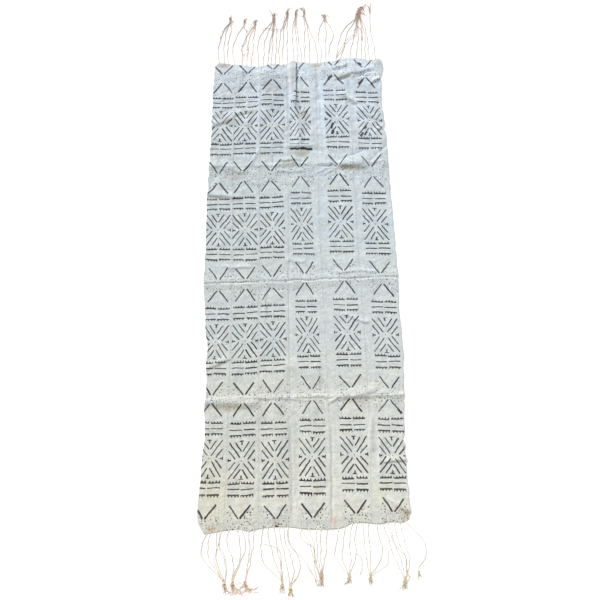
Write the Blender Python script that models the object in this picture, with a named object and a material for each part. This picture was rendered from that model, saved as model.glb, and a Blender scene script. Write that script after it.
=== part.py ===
"""Hand-painted cotton cloth of six woven strips with a knotted fringe, lying flat. Metres, +Z up."""

import math

import bmesh
import bpy

# Driving sizes
THICK = 0.0015
SEAM_GAP = 0.0003
BACKING_DEEP = 0.006
STRAND_WIDE = 0.0016
STRAND_HIGH = 0.0016
LANE_PITCH = 0.0024
KNOT_LONG = 0.013
STRAND_STEPS = 9
COLUMNS = 6
COTTON = (0.62, 0.66, 0.68, 1.0)
YARN = (0.78, 0.72, 0.62, 1.0)

# Outer edges of the cloth along its length: y, x
LEFT_EDGE = (
    (-0.816, -0.313), (-0.785, -0.332), (-0.751, -0.338), (-0.690, -0.334), (-0.616, -0.329),
    (-0.540, -0.324), (-0.482, -0.324), (-0.452, -0.328), (-0.391, -0.322), (-0.329, -0.326),
    (-0.266, -0.323), (-0.209, -0.330), (-0.130, -0.336), (-0.052, -0.342), (0.080, -0.341),
    (0.236, -0.341), (0.343, -0.338), (0.452, -0.335), (0.588, -0.333), (0.680, -0.332),
    (0.735, -0.327), (0.748, -0.318),
)
RIGHT_EDGE = (
    (-0.785, 0.291), (-0.739, 0.298), (-0.682, 0.294), (-0.616, 0.291), (-0.557, 0.287),
    (-0.482, 0.290), (-0.391, 0.290), (-0.285, 0.294), (-0.209, 0.290), (-0.131, 0.285),
    (-0.052, 0.286), (0.062, 0.280), (0.148, 0.277), (0.236, 0.271), (0.307, 0.269),
    (0.379, 0.264), (0.471, 0.262), (0.510, 0.256), (0.588, 0.250), (0.690, 0.252),
    (0.735, 0.258), (0.765, 0.256),
)

# Fringed ends of the cloth from left to right: x, y
TOP_END = (
    (-0.330, 0.736), (-0.317, 0.745), (-0.280, 0.741), (-0.232, 0.736), (-0.187, 0.731),
    (-0.154, 0.736), (-0.126, 0.743), (-0.090, 0.739), (-0.064, 0.747), (-0.041, 0.750),
    (-0.008, 0.746), (0.037, 0.747), (0.088, 0.754), (0.139, 0.766), (0.184, 0.763),
    (0.217, 0.757), (0.245, 0.762), (0.260, 0.752),
)
BOTTOM_END = (
    (-0.316, -0.814), (-0.295, -0.810), (-0.248, -0.803), (-0.210, -0.800), (-0.182, -0.805),
    (-0.153, -0.799), (-0.116, -0.794), (-0.059, -0.794), (-0.016, -0.799), (0.069, -0.799),
    (0.100, -0.794), (0.122, -0.784), (0.160, -0.781), (0.202, -0.785), (0.245, -0.779),
    (0.278, -0.780), (0.296, -0.770),
)

# Sewn joins between the strips: y, then x of seams 1 to 5
SEAMS = (
    (-0.800, -0.258, -0.155, -0.057, 0.062, 0.181),
    (-0.595, -0.254, -0.157, -0.058, 0.062, 0.183),
    (-0.225, -0.251, -0.163, -0.066, 0.049, 0.174),
    (0.135, -0.254, -0.165, -0.070, 0.034, 0.156),
    (0.500, -0.257, -0.169, -0.073, 0.027, 0.145),
    (0.750, -0.251, -0.167, -0.080, 0.021, 0.132),
)

# Slope of the crosswise weave from left to right, since the cloth lies a little askew: y, slope
LEAN = ((-0.795, 0.052), (-0.411, 0.021), (-0.040, 0.040), (0.363, 0.033), (0.750, 0.034))

# Rows across the cloth, at x = 0, close together at the creases
ROWS = (
    -0.755, -0.715, -0.675, -0.640, -0.605, -0.570, -0.530, -0.490, -0.455,
    -0.428, -0.420, -0.412, -0.404, -0.396, -0.380, -0.350, -0.300, -0.245, -0.200, -0.165, -0.125, -0.085,
    -0.056, -0.048, -0.040, -0.032, -0.024, 0.010, 0.060, 0.115, 0.170, 0.225, 0.280, 0.325,
    0.347, 0.355, 0.363, 0.371, 0.379, 0.400, 0.435, 0.475, 0.515, 0.555, 0.580, 0.600,
    0.620, 0.645, 0.675, 0.700, 0.720,
)

# Ridges left by folding: x and y of both ends, half width, height
FOLDS = (
    (-0.360, -0.054, 0.310, -0.028, 0.015, 0.0045),
    (-0.360, 0.351, 0.290, 0.373, 0.016, 0.0030),
    (0.080, 0.392, 0.225, 0.398, 0.030, 0.0060),
    (-0.320, 0.385, -0.180, 0.385, 0.024, 0.0030),
    (-0.090, 0.378, -0.030, 0.380, 0.020, 0.0030),
    (-0.360, -0.419, 0.310, -0.405, 0.016, 0.0035),
    (-0.330, -0.407, -0.160, -0.404, 0.024, 0.0040),
    (0.065, -0.390, 0.230, -0.384, 0.030, 0.0060),
    (0.080, 0.700, 0.185, 0.708, 0.022, 0.0050),
    (0.218, 0.522, 0.275, 0.500, 0.022, 0.0050),
    (0.120, 0.612, 0.160, 0.582, 0.020, 0.0030),
    (0.215, -0.655, 0.285, -0.580, 0.024, 0.0045),
    (-0.052, 0.600, -0.030, 0.430, 0.024, 0.0040),
    (0.002, -0.450, 0.002, -0.740, 0.045, 0.0020),
    (0.150, -0.150, 0.178, -0.190, 0.022, 0.0030),
)
END_FLAT = 0.010
END_RISE = 0.030

# Lengthwise pleat laid over at the top of strip 4: it is deepest at the end and fades down the cloth
PLEAT_STRIP = 4
PLEAT_EDGE = -0.045
PLEAT_DEEP = 0.016
PLEAT_TOP = 0.750
PLEAT_SHALLOW = 0.625
PLEAT_GONE = 0.560
PLEAT_BEND = 0.0012
PLEAT_START = 0.006
PLEAT_RISE = 0.0105

# Knots of the fringe: x, y, width, height, tail length, sideways reach of the tail
TOP_KNOTS = {
    "a": (-0.281, 0.920, 0.0100, 0.0060, 0.016, 0.003),
    "b": (-0.230, 0.912, 0.0085, 0.0055, 0.014, 0.005),
    "c": (-0.192, 0.908, 0.0090, 0.0055, 0.014, 0.008),
    "d": (-0.126, 0.923, 0.0120, 0.0065, 0.026, -0.004),
    "e": (-0.077, 0.946, 0.0100, 0.0060, 0.024, 0.004),
    "f": (-0.047, 0.944, 0.0090, 0.0055, 0.018, 0.006),
    "g": (-0.017, 0.950, 0.0090, 0.0055, 0.020, -0.006),
    "h": (0.056, 0.930, 0.0105, 0.0060, 0.014, -0.006),
    "i": (0.178, 0.941, 0.0160, 0.0080, 0.034, 0.006),
    "j": (0.219, 0.953, 0.0055, 0.0045, 0.038, 0.001),
}
BOTTOM_KNOTS = {
    "a": (-0.253, -0.953, 0.0110, 0.0065, 0.026, 0.005),
    "b": (-0.229, -0.948, 0.0105, 0.0060, 0.022, 0.006),
    "c": (-0.192, -0.948, 0.0085, 0.0055, 0.018, 0.012),
    "d": (-0.084, -0.952, 0.0100, 0.0060, 0.024, -0.004),
    "e": (-0.060, -0.964, 0.0110, 0.0065, 0.027, 0.003),
    "f": (0.029, -0.938, 0.0115, 0.0065, 0.018, 0.003),
    "g": (0.112, -0.934, 0.0105, 0.0060, 0.018, -0.010),
    "h": (0.173, -0.934, 0.0100, 0.0060, 0.016, 0.006),
    "i": (0.274, -0.944, 0.0110, 0.0065, 0.022, 0.001),
    "j": (0.316, -0.916, 0.0050, 0.0045, 0.024, 0.007),
}

# Strands: strip, x of the root, knot, lane beside the knot's middle, bow and sway on the way to it.
# The strand in lane 0 carries the knot and the tail, and the others end at it.
TOP_STRANDS = (
    (1, -0.316, "a", -1, -0.018, 0.004),
    (1, -0.297, "a", 0, -0.012, 0.003),
    (1, -0.281, "a", 1, -0.006, -0.004),
    (1, -0.260, "b", 0, -0.022, 0.003),
    (2, -0.236, "c", -1, -0.018, 0.006),
    (2, -0.219, "c", 0, -0.010, 0.004),
    (2, -0.202, "c", 1, -0.003, 0.002),
    (2, -0.178, "d", -2, -0.026, 0.010),
    (3, -0.160, "d", -1, -0.013, 0.004),
    (3, -0.146, "d", 0, -0.002, 0.002),
    (3, -0.133, "d", 1, 0.000, 0.000),
    (3, -0.119, "d", 2, 0.006, -0.002),
    (3, -0.104, "e", -1, -0.013, 0.003),
    (3, -0.091, "e", 0, -0.008, 0.002),
    (4, -0.0765, "e", 1, -0.002, 0.001),
    (4, -0.055, "f", -1, -0.006, 0.003),
    (4, -0.040, "f", 0, -0.002, 0.002),
    (4, -0.0245, "f", 1, -0.003, 0.000),
    (4, -0.014, "g", -1, 0.002, -0.002),
    (4, 0.001, "g", 0, 0.008, -0.002),
    (5, 0.028, "g", 1, 0.009, 0.000),
    (5, 0.041, "h", -1, -0.012, 0.008),
    (5, 0.060, "h", 0, 0.002, -0.002),
    (5, 0.073, "h", 1, 0.016, -0.012),
    (5, 0.094, "i", -3, -0.024, 0.013),
    (5, 0.110, "i", -2, -0.010, 0.009),
    (6, 0.145, "i", -1, -0.002, 0.002),
    (6, 0.166, "i", 0, 0.002, 0.002),
    (6, 0.184, "i", 1, 0.006, -0.002),
    (6, 0.199, "i", 2, 0.008, -0.003),
    (6, 0.214, "i", 3, 0.008, -0.006),
    (6, 0.235, "j", 0, -0.003, 0.000),
)
BOTTOM_STRANDS = (
    (1, -0.3065, "a", -2, -0.036, 0.002),
    (1, -0.2968, "a", -1, -0.024, 0.003),
    (1, -0.279, "a", 0, -0.012, 0.004),
    (1, -0.265, "a", 1, -0.003, -0.006),
    (2, -0.243, "b", -1, 0.001, -0.007),
    (2, -0.220, "b", 0, 0.017, 0.000),
    (2, -0.204, "b", 1, 0.018, 0.001),
    (2, -0.184, "c", 0, 0.006, -0.001),
    (2, -0.168, "c", 1, 0.004, -0.002),
    (3, -0.142, "d", -1, -0.032, 0.010),
    (3, -0.126, "d", 0, -0.008, 0.002),
    (3, -0.108, "d", 1, 0.000, 0.001),
    (3, -0.092, "e", -1, 0.000, 0.000),
    (3, -0.079, "e", 0, 0.010, -0.006),
    (3, -0.067, "e", 1, 0.022, -0.012),
    (4, -0.0285, "f", -2, 0.006, 0.008),
    (4, -0.005, "f", -1, 0.001, 0.006),
    (4, 0.018, "f", 0, -0.004, 0.001),
    (4, 0.031, "f", 1, -0.002, -0.001),
    (4, 0.049, "f", 2, 0.002, -0.001),
    (5, 0.084, "g", -2, -0.024, 0.006),
    (5, 0.103, "g", -1, -0.014, 0.003),
    (5, 0.125, "g", 0, -0.003, -0.005),
    (5, 0.139, "g", 1, 0.005, -0.007),
    (5, 0.156, "h", -1, -0.004, 0.001),
    (5, 0.171, "h", 0, 0.003, -0.001),
    (6, 0.197, "h", 1, 0.024, -0.008),
    (6, 0.216, "i", -1, -0.004, 0.006),
    (6, 0.231, "i", 0, 0.003, 0.002),
    (6, 0.250, "i", 1, 0.007, -0.004),
    (6, 0.267, "i", 2, 0.012, -0.004),
    (6, 0.284, "j", 0, 0.0385, 0.000),
)


def smooth(t):
    t = min(max(t, 0.0), 1.0)
    return t * t * (3.0 - 2.0 * t)


def curve(table, at, column=1):
    """Value of a table's column at a place given by its first column, on a smooth line through the rows."""
    rows = len(table)
    k = 0
    while k < rows - 2 and at > table[k + 1][0]:
        k += 1
    x0, x1 = table[k][0], table[k + 1][0]
    y0, y1 = table[k][column], table[k + 1][column]
    t = min(max((at - x0) / (x1 - x0), 0.0), 1.0)
    before = table[max(k - 1, 0)]
    after = table[min(k + 2, rows - 1)]
    slope0 = (y1 - before[column]) / (x1 - before[0]) * (x1 - x0)
    slope1 = (after[column] - y0) / (after[0] - x0) * (x1 - x0)
    a = 2 * t**3 - 3 * t**2 + 1
    b = t**3 - 2 * t**2 + t
    c = t**3 - t**2
    return a * y0 + b * slope0 + (1 - a) * y1 + c * slope1


def line_y(middle, x):
    """y at x of the crosswise line that passes x = 0 at middle, taking on the outline of a near end."""
    y = middle + curve(LEAN, middle) * x
    top_middle = curve(TOP_END, 0.0)
    bottom_middle = curve(BOTTOM_END, 0.0)
    top_near = 1.0 - smooth((top_middle - middle) / 0.12)
    bottom_near = 1.0 - smooth((middle - bottom_middle) / 0.12)
    y += top_near * (curve(TOP_END, x) - top_middle - curve(LEAN, top_middle) * x)
    y += bottom_near * (curve(BOTTOM_END, x) - bottom_middle - curve(LEAN, bottom_middle) * x)
    return y


def side_x(line, y):
    """x of line 0 (left edge), 1 to 5 (seams) or 6 (right edge) at y."""
    if line == 0:
        return curve(LEFT_EDGE, y)
    if line == 6:
        return curve(RIGHT_EDGE, y)
    return curve(SEAMS, y, line)


def lift(x, y):
    """Height of the cloth's underside above the floor."""
    height = 0.0
    for x0, y0, x1, y1, half, high in FOLDS:
        long = math.hypot(x1 - x0, y1 - y0)
        ux, uy = (x1 - x0) / long, (y1 - y0) / long
        along = (x - x0) * ux + (y - y0) * uy
        aside = abs((y - y0) * ux - (x - x0) * uy)
        beyond = max(-along, along - long, 0.0)
        share = (1.0 - smooth(aside / half)) * (1.0 - smooth(beyond / (1.5 * half)))
        height = max(height, high * share)
    from_end = min(curve(TOP_END, x) - y, y - curve(BOTTOM_END, x))
    return height * smooth((from_end - END_FLAT) / END_RISE)


def strip_sides(strip, middle):
    """x of both sides of a strip on the crosswise line named by its middle."""
    sides = []
    for line, inward in ((strip - 1, 1.0), (strip, -1.0)):
        x = side_x(line, middle)
        for _ in range(3):
            x = side_x(line, line_y(middle, x))
        sides.append(x + inward * SEAM_GAP / 2)
    return sides


def flat_section(left, right):
    """Across a plain strip: x and height of its middle layer."""
    return [(left + (right - left) * k / COLUMNS, 0.0) for k in range(COLUMNS + 1)]


def bend(x, z, start, turn):
    """Five points of a half circle about (x, z)."""
    points = []
    for k in range(5):
        angle = start + turn * k / 4
        points.append((x + PLEAT_BEND * math.cos(angle), z + PLEAT_BEND * math.sin(angle)))
    return points


def pleat_section(left, right, middle):
    """Across strip 4: up, over to the pleat's edge, back under it, and on to the right."""
    r = PLEAT_BEND
    share = smooth((middle - PLEAT_SHALLOW) / (PLEAT_TOP - PLEAT_SHALLOW))
    deep = 3 * r + (PLEAT_DEEP - 3 * r) * share
    fade = smooth((PLEAT_SHALLOW - middle) / (PLEAT_SHALLOW - PLEAT_GONE))
    start = left + PLEAT_START
    points = [(left, 0.0)]
    points += [(start + PLEAT_RISE * k / 3, 4 * r * smooth(k / 3)) for k in range(4)]
    points += bend(PLEAT_EDGE - r, 3 * r, math.pi / 2, -math.pi)
    points += bend(PLEAT_EDGE - deep + r, r, math.pi / 2, math.pi)
    first = points[-1][0]
    points += [(first + (right - first) * k / 5, 0.0) for k in range(1, 6)]
    steps = lengths(points)
    return [
        (x * (1 - fade) + (left + (right - left) * s) * fade, z * (1 - fade))
        for (x, z), s in zip(points, steps)
    ]


def lengths(points):
    """Share of the whole length at each point of a line."""
    run = [0.0]
    for (x0, z0), (x1, z1) in zip(points, points[1:]):
        run.append(run[-1] + math.hypot(x1 - x0, z1 - z0))
    return [s / run[-1] for s in run]


def faces_of_section(points):
    """Under and upper points of a sheet THICK through, whose middle layer is the given line."""
    normals = []
    for (x0, z0), (x1, z1) in zip(points, points[1:]):
        long = math.hypot(x1 - x0, z1 - z0)
        normals.append((-(z1 - z0) / long, (x1 - x0) / long))
    before = normals[:1] + normals
    after = normals + normals[-1:]
    under, upper = [], []
    for (x, z), (ax, az), (bx, bz) in zip(points, before, after):
        nx, nz = (ax + bx) / 2, (az + bz) / 2
        reach = THICK / 2 / (nx * nx + nz * nz)
        under.append((x - reach * nx, z + THICK / 2 - reach * nz))
        upper.append((x + reach * nx, z + THICK / 2 + reach * nz))
    return under, upper


def section(strip, middle):
    left, right = strip_sides(strip, middle)
    if strip == PLEAT_STRIP:
        return pleat_section(left, right, middle)
    return flat_section(left, right)


def row_of(points, middle):
    """A crosswise line set at its place on the cloth: all its under points, then all its upper points."""
    under, upper = faces_of_section(points)
    row = []
    for x, z in under + upper:
        y = line_y(middle, x)
        row.append((x, y, max(z, 0.0) + lift(x, y)))
    return row


def add_sheet(bm, rows):
    """Skins lines of under and upper points as one closed sheet, and returns the quads of its last end."""
    grid = [[bm.verts.new(point) for point in row] for row in rows]
    count = len(rows[0]) // 2
    for a, b in zip(grid, grid[1:]):
        for c in range(count - 1):
            u = count + c
            bm.faces.new((a[c], b[c], b[c + 1], a[c + 1]))
            bm.faces.new((a[u], a[u + 1], b[u + 1], b[u]))
        bm.faces.new((a[0], a[count], b[count], b[0]))
        bm.faces.new((a[count - 1], b[count - 1], b[-1], a[-1]))
    first, last = grid[0], grid[-1]
    end = []
    for c in range(count - 1):
        u = count + c
        bm.faces.new((first[c], first[c + 1], first[u + 1], first[u]))
        end.append(bm.faces.new((last[c], last[u], last[u + 1], last[c + 1])))
    return end


def build_strip(bm, strip):
    first = curve(BOTTOM_END, 0.0) + BACKING_DEEP + SEAM_GAP
    last = curve(TOP_END, 0.0) - BACKING_DEEP - SEAM_GAP
    middles = (first, *ROWS, last)
    add_sheet(bm, [row_of(section(strip, middle), middle) for middle in middles])


def between(a, b, x):
    """The point at x on the straight line from a to b."""
    t = (x - a[0]) / (b[0] - a[0])
    return (x, a[1] + (b[1] - a[1]) * t, a[2] + (b[2] - a[2]) * t)


def with_roots(row, roots):
    """The row with points added at both sides of each strand's root, and the column of each root.

    Where the cloth lies in layers, a strand grows from the highest one."""
    under, upper = row[: len(row) // 2], row[len(row) // 2 :]
    half = STRAND_WIDE / 2
    places = {}
    for root in roots:
        spots = [
            k
            for k in range(len(under) - 1)
            if max(under[k][0], upper[k][0]) < root - half
            and root + half < min(under[k + 1][0], upper[k + 1][0])
            and abs(under[k][2] - under[k + 1][2]) < 1e-9
        ]
        places[root] = max(spots, key=lambda k: under[k][2])
    new_under, new_upper, columns = [], [], []
    for k in range(len(under)):
        new_under.append(under[k])
        new_upper.append(upper[k])
        for root in (root for root in roots if places[root] == k):
            columns.append(len(new_under))
            for x in (root - half, root + half):
                new_under.append(between(under[k], under[k + 1], x))
                new_upper.append(between(upper[k], upper[k + 1], x))
    return new_under, new_upper, columns


def ring(x, y, z, dx, dy, wide, high):
    """Four corners round a strand that runs along (dx, dy), in the order of a quad of a sheet's end."""
    long = math.hypot(dx, dy)
    sx, sy = dy / long * wide / 2, -dx / long * wide / 2
    return [
        (x - sx, y - sy, z),
        (x - sx, y - sy, z + high),
        (x + sx, y + sy, z + high),
        (x + sx, y + sy, z),
    ]


def strand_rings(root, knot, lane, bow, sway):
    """Rings of a strand from its root to its knot, and on through the knot to the tail if it is in lane 0."""
    x0, y0, base = root
    knot_x, knot_y, wide, high, tail, reach = knot
    way = 1.0 if knot_y > y0 else -1.0
    x1, y1 = knot_x + lane * LANE_PITCH, knot_y - way * KNOT_LONG
    rings = []
    for k in range(1, STRAND_STEPS + 1):
        t = k / STRAND_STEPS
        x = x0 + (x1 - x0) * smooth(t) + bow * math.sin(math.pi * t) + sway * math.sin(2 * math.pi * t)
        dx = (x1 - x0) * 6 * t * (1 - t)
        dx += math.pi * (bow * math.cos(math.pi * t) + 2 * sway * math.cos(2 * math.pi * t))
        low = base * (1.0 - smooth(5 * t))
        rings.append(ring(x, y0 + (y1 - y0) * t, low, dx, y1 - y0, STRAND_WIDE, STRAND_HIGH))
    if lane == 0:
        for share, w, h in ((-0.3, wide, high), (0.3, wide, high), (0.8, STRAND_WIDE, STRAND_HIGH)):
            rings.append(ring(knot_x, knot_y + way * share * KNOT_LONG, 0.0, 0.0, way, w, h))
        end = (knot_x + reach, knot_y + way * tail)
        rings.append(ring(*end, 0.0, reach, way * tail, STRAND_WIDE, STRAND_HIGH))
    return rings


def build_fringe(bm, strip, end_line, strands, knots, way):
    """A narrow backing at one end of a strip, with its strands extruded from it."""
    outer = curve(end_line, 0.0)
    own = [row for row in strands if row[0] == strip]
    rows = []
    for middle in (outer - way * BACKING_DEEP, outer):
        line = row_of(section(strip, middle), middle)
        under, upper, columns = with_roots(line, [row[1] for row in own])
        if way < 0:
            under, upper = under[::-1], upper[::-1]
            columns = [len(under) - 2 - c for c in columns]
        rows.append(under + upper)
    end = add_sheet(bm, rows)
    for (_, x, knot, lane, bow, sway), column in zip(own, columns):
        face = end[column]
        root = (x, face.calc_center_median().y, min(vert.co.z for vert in face.verts))
        for corners in strand_rings(root, knots[knot], lane, bow, sway):
            face = bmesh.ops.extrude_discrete_faces(bm, faces=[face])["faces"][0]
            for vert, corner in zip(face.verts, corners):
                vert.co = corner


def add_object(name, color, roughness, build, *sizes):
    """One object with its own material, from a function that fills its mesh."""
    bm = bmesh.new()
    build(bm, *sizes)
    mesh = bpy.data.meshes.new(name)
    bm.to_mesh(mesh)
    bm.free()
    material = bpy.data.materials.new(name)
    material.use_nodes = True
    shader = material.node_tree.nodes["Principled BSDF"]
    shader.inputs["Base Color"].default_value = color
    shader.inputs["Roughness"].default_value = roughness
    shader.inputs["Metallic"].default_value = 0.0
    mesh.materials.append(material)
    obj = bpy.data.objects.new(name, mesh)
    bpy.context.scene.collection.objects.link(obj)


for old in list(bpy.data.objects):
    bpy.data.objects.remove(old, do_unlink=True)

for number in range(1, 7):
    add_object(f"strip_{number}", COTTON, 0.9, build_strip, number)
    add_object(
        f"fringe_top_{number}", YARN, 0.95,
        build_fringe, number, TOP_END, TOP_STRANDS, TOP_KNOTS, 1.0,
    )
    add_object(
        f"fringe_bottom_{number}", YARN, 0.95,
        build_fringe, number, BOTTOM_END, BOTTOM_STRANDS, BOTTOM_KNOTS, -1.0,
    )
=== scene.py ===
"""Dresses the fringed cotton cloth: six sewn strips, painted pattern, seams and yarn. Metres, +Z up."""

import math

import bpy
import numpy as np
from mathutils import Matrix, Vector


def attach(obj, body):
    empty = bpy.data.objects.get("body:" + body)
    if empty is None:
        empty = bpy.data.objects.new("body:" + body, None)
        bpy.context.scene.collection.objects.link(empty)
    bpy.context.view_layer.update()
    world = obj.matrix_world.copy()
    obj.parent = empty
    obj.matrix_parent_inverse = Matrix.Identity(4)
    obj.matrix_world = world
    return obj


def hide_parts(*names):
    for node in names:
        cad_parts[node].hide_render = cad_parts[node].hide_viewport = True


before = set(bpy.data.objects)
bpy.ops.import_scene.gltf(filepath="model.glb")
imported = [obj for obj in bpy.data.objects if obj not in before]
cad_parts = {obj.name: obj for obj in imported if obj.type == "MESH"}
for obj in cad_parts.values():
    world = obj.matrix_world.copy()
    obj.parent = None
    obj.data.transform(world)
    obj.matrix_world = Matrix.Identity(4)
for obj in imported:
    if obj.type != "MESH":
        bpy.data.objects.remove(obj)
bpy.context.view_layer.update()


def metres(sizes):
    """Sizes given in mm, one or rows of them, as metres."""
    if isinstance(sizes, (tuple, list)):
        return tuple(metres(size) for size in sizes)
    return sizes / 1000.0


# Driving sizes in metres: the solids' sheet, the thin one on its folds and the gap under it, the
# least height of any corner, and the floor's depth and reach
THICK = 0.0015
CLOTH_THICK = 0.0012
FLOOR_GAP = 0.0002
LOWEST = 0.0001
FLOOR_DEPTH = 0.0002
FLOOR_REACH = 6.0

# Rows of a strip's mesh: how many in each band of its flat layout, and how many bands
ROWS_OF_BAND = 180
BANDS = 3

# Yarn and stitches, in metres; the lobes of the two plies are a share of the radius
KNOT_LONG = 0.013
LANE_PITCH = 0.0024
YARN_RADIUS = 0.0012
YARN_TWIST = 0.010
YARN_TWIST_THICK = 0.012
YARN_STEP = 0.00125
PLY_LOBE = 0.12
ROOT_INSIDE = 0.0025
SHORT_END_PITCH = 0.0026
STITCH_PITCH = 0.006
STITCH_RADIUS = 0.00035

# Sizes in mm of the pattern's repeat, its teeth and dots, and the weave
REPEAT = 368.0
TOOTH_PITCH = 9.4
DOT_PITCH = 8.4
WARP_PITCH = 1.15
WEFT_PITCH = 1.35

# The camera stands above the near half of the cloth, and the soft sun shines from the far left;
# angles are in degrees
CAMERA_PLACE = (-0.031, -0.4451, 1.7166)
CAMERA_TILT = 11.206
CAMERA_LENS = 32.62
SUN_PLACE = (-0.55, 0.75, 0.58)
SUN_SPREAD = 18.0

# From here on, single sizes are in metres and tables in mm, where nothing else is said, and colours
# are red, green and blue

# Outer edges of the cloth along its length: y, x
LEFT_EDGE = metres((
    (-816, -313), (-785, -332), (-751, -338), (-690, -334), (-616, -329), (-540, -324), (-482, -324),
    (-452, -328), (-391, -322), (-329, -326), (-266, -323), (-209, -330), (-130, -336), (-52, -342),
    (80, -341), (236, -341), (343, -338), (452, -335), (588, -333), (680, -332), (735, -327),
    (748, -318),
))
RIGHT_EDGE = metres((
    (-785, 291), (-739, 298), (-682, 294), (-616, 291), (-557, 287), (-482, 290), (-391, 290),
    (-285, 294), (-209, 290), (-131, 285), (-52, 286), (62, 280), (148, 277), (236, 271), (307, 269),
    (379, 264), (471, 262), (510, 256), (588, 250), (690, 252), (735, 258), (765, 256),
))

# Small unevenness of both long edges, and folded-in nicks of the right one: y, depth, half height
EDGE_WAVE = 0.0034
NOTCHES = metres(((690, 6, 7), (499, 11, 4.5), (-536, 4, 6)))

# Fringed ends of the cloth from left to right: x, y
TOP_END = metres((
    (-330, 736), (-317, 745), (-280, 741), (-232, 736), (-187, 731), (-154, 736), (-126, 743),
    (-90, 739), (-64, 747), (-41, 750), (-8, 746), (37, 747), (88, 754), (139, 766), (184, 763),
    (217, 757), (245, 762), (260, 752),
))
BOTTOM_END = metres((
    (-316, -814), (-295, -810), (-248, -803), (-210, -800), (-182, -805), (-153, -799), (-116, -794),
    (-59, -794), (-16, -799), (69, -799), (100, -794), (122, -784), (160, -781), (202, -785),
    (245, -779), (278, -780), (296, -770),
))

# Sewn joins between the strips: y, then x of seams 1 to 5
SEAMS = metres((
    (-800, -258, -155, -57, 62, 181),
    (-595, -254, -157, -58, 62, 183),
    (-225, -251, -163, -66, 49, 174),
    (135, -254, -165, -70, 34, 156),
    (500, -257, -169, -73, 27, 145),
    (750, -251, -167, -80, 21, 132),
))

# How near an end the crosswise lines take on its outline
END_REACH = 0.12

# Slope of the crosswise weave from left to right: y in metres, slope
LEAN = ((-0.795, 0.052), (-0.411, 0.021), (-0.040, 0.040), (0.363, 0.033), (0.750, 0.034))

# Storage creases: y on the middle line
STORAGE_CREASES = metres((-40, 363, -411))

# Soft ridges left by folding and handling: x and y of both ends, half width on the left of the way
# from the first end to the second, height, and how much of that half width lies on the right
FOLDS = (
    (-360, -54, 310, -28, 36, 3, 1.0),
    (-360, 351, 290, 373, 16, 1.7, 0.8),
    (120, 362, 160, 360, 36, 8.5, 0.45),
    (-318, 352, -235, 340, 26, 4.6, 0.75),
    (-92, 377, -46, 376, 16, 3.8, 0.5),
    (-105, 337, -28, 338, 12, 2.6, 0.7),
    (-360, -421, 310, -405, 16, 2.8, 0.8),
    (-335, -427, -178, -430, 24, 5.2, 1.0),
    (-95, -411, 6, -430, 12, 2.6, 0.6),
    (70, -424, 112, -402, 16, 4, 0.5),
    (112, -409, 192, -394, 26, 5.8, 0.7),
    (182, -400, 240, -401, 14, 4, 0.5),
    (118, 694, 148, 704, 30, 5.8, 0.34),
    (142, 701, 200, 713, 26, 5.8, 0.35),
    (220, 668, 257, 691, 13, 5.6, 0.4),
    (150, 690, 192, 655, 12, 3, 0.6),
    (122, 616, 166, 588, 20, 6, 0.45),
    (160, 590, 215, 530, 18, 4.5, 0.45),
    (225, 560, 258, 505, 18, 5, 0.5),
    (238, 488, 262, 500, 12, 4.2, 0.6),
    (-322, 500, -252, 541, 22, 4, 0.4),
    (-240, 553, -178, 559, 18, 3.4, 0.5),
    (-160, 705, -154, 560, 50, 4.5, 0.9),
    (-52, 600, -34, 450, 24, 4.5, 0.7),
    (-46, 536, -12, 560, 12, 3.8, 0.5),
    (-44, 487, -15, 491, 11, 3.4, 0.5),
    (-70, 426, 2, 428, 16, 4, 0.5),
    (-340, 250, -256, 240, 26, 5.2, 0.4),
    (-292, 194, -234, 159, 14, 3, 0.5),
    (90, -14, 212, -11, 14, 4.2, 0.7),
    (-272, 1, -198, 1, 11, 3, 0.6),
    (-66, 27, -24, 23, 12, 2.8, 0.6),
    (-146, -80, -144, -150, 12, 2.6, 0.7),
    (-199, -186, -176, -230, 14, 2.6, 0.6),
    (-322, -325, -264, -296, 18, 3.6, 0.45),
    (-64, -312, -4, -338, 34, 3.4, 0.8),
    (22, -315, 26, -370, 16, 2.6, 0.6),
    (2, -450, 2, -740, 45, 2.4, 1.0),
    (-105, -440, -98, -780, 34, 2.6, 1.1),
    (118, -156, 176, -174, 16, 3.6, 0.4),
    (186, -480, 184, -560, 14, 2.8, 0.6),
    (214, -550, 212, -630, 16, 2.8, 0.6),
    (228, -602, 292, -596, 18, 4.4, 0.4),
    (262, -530, 292, -555, 14, 4, 0.6),
    (-230, -645, -192, -678, 14, 2.8, 0.6),
    (184, 745, 203, 700, 9, 3, 1.0),
    (85, 728, 122, 735, 12, 3.2, 0.6),
    (235, 420, 250, 365, 12, 3.6, 0.6),
    (244, -722, 294, -752, 16, 4.4, 0.5),
    (-318, 398, -310, 355, 14, 3.2, 0.8),
    (-174, 410, -195, 360, 12, 2.8, 0.6),
)
# The cloth lies flat at its fringed ends, and rises to its folds over a short way
END_FLAT = 0.002
END_RISE = 0.030

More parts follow.
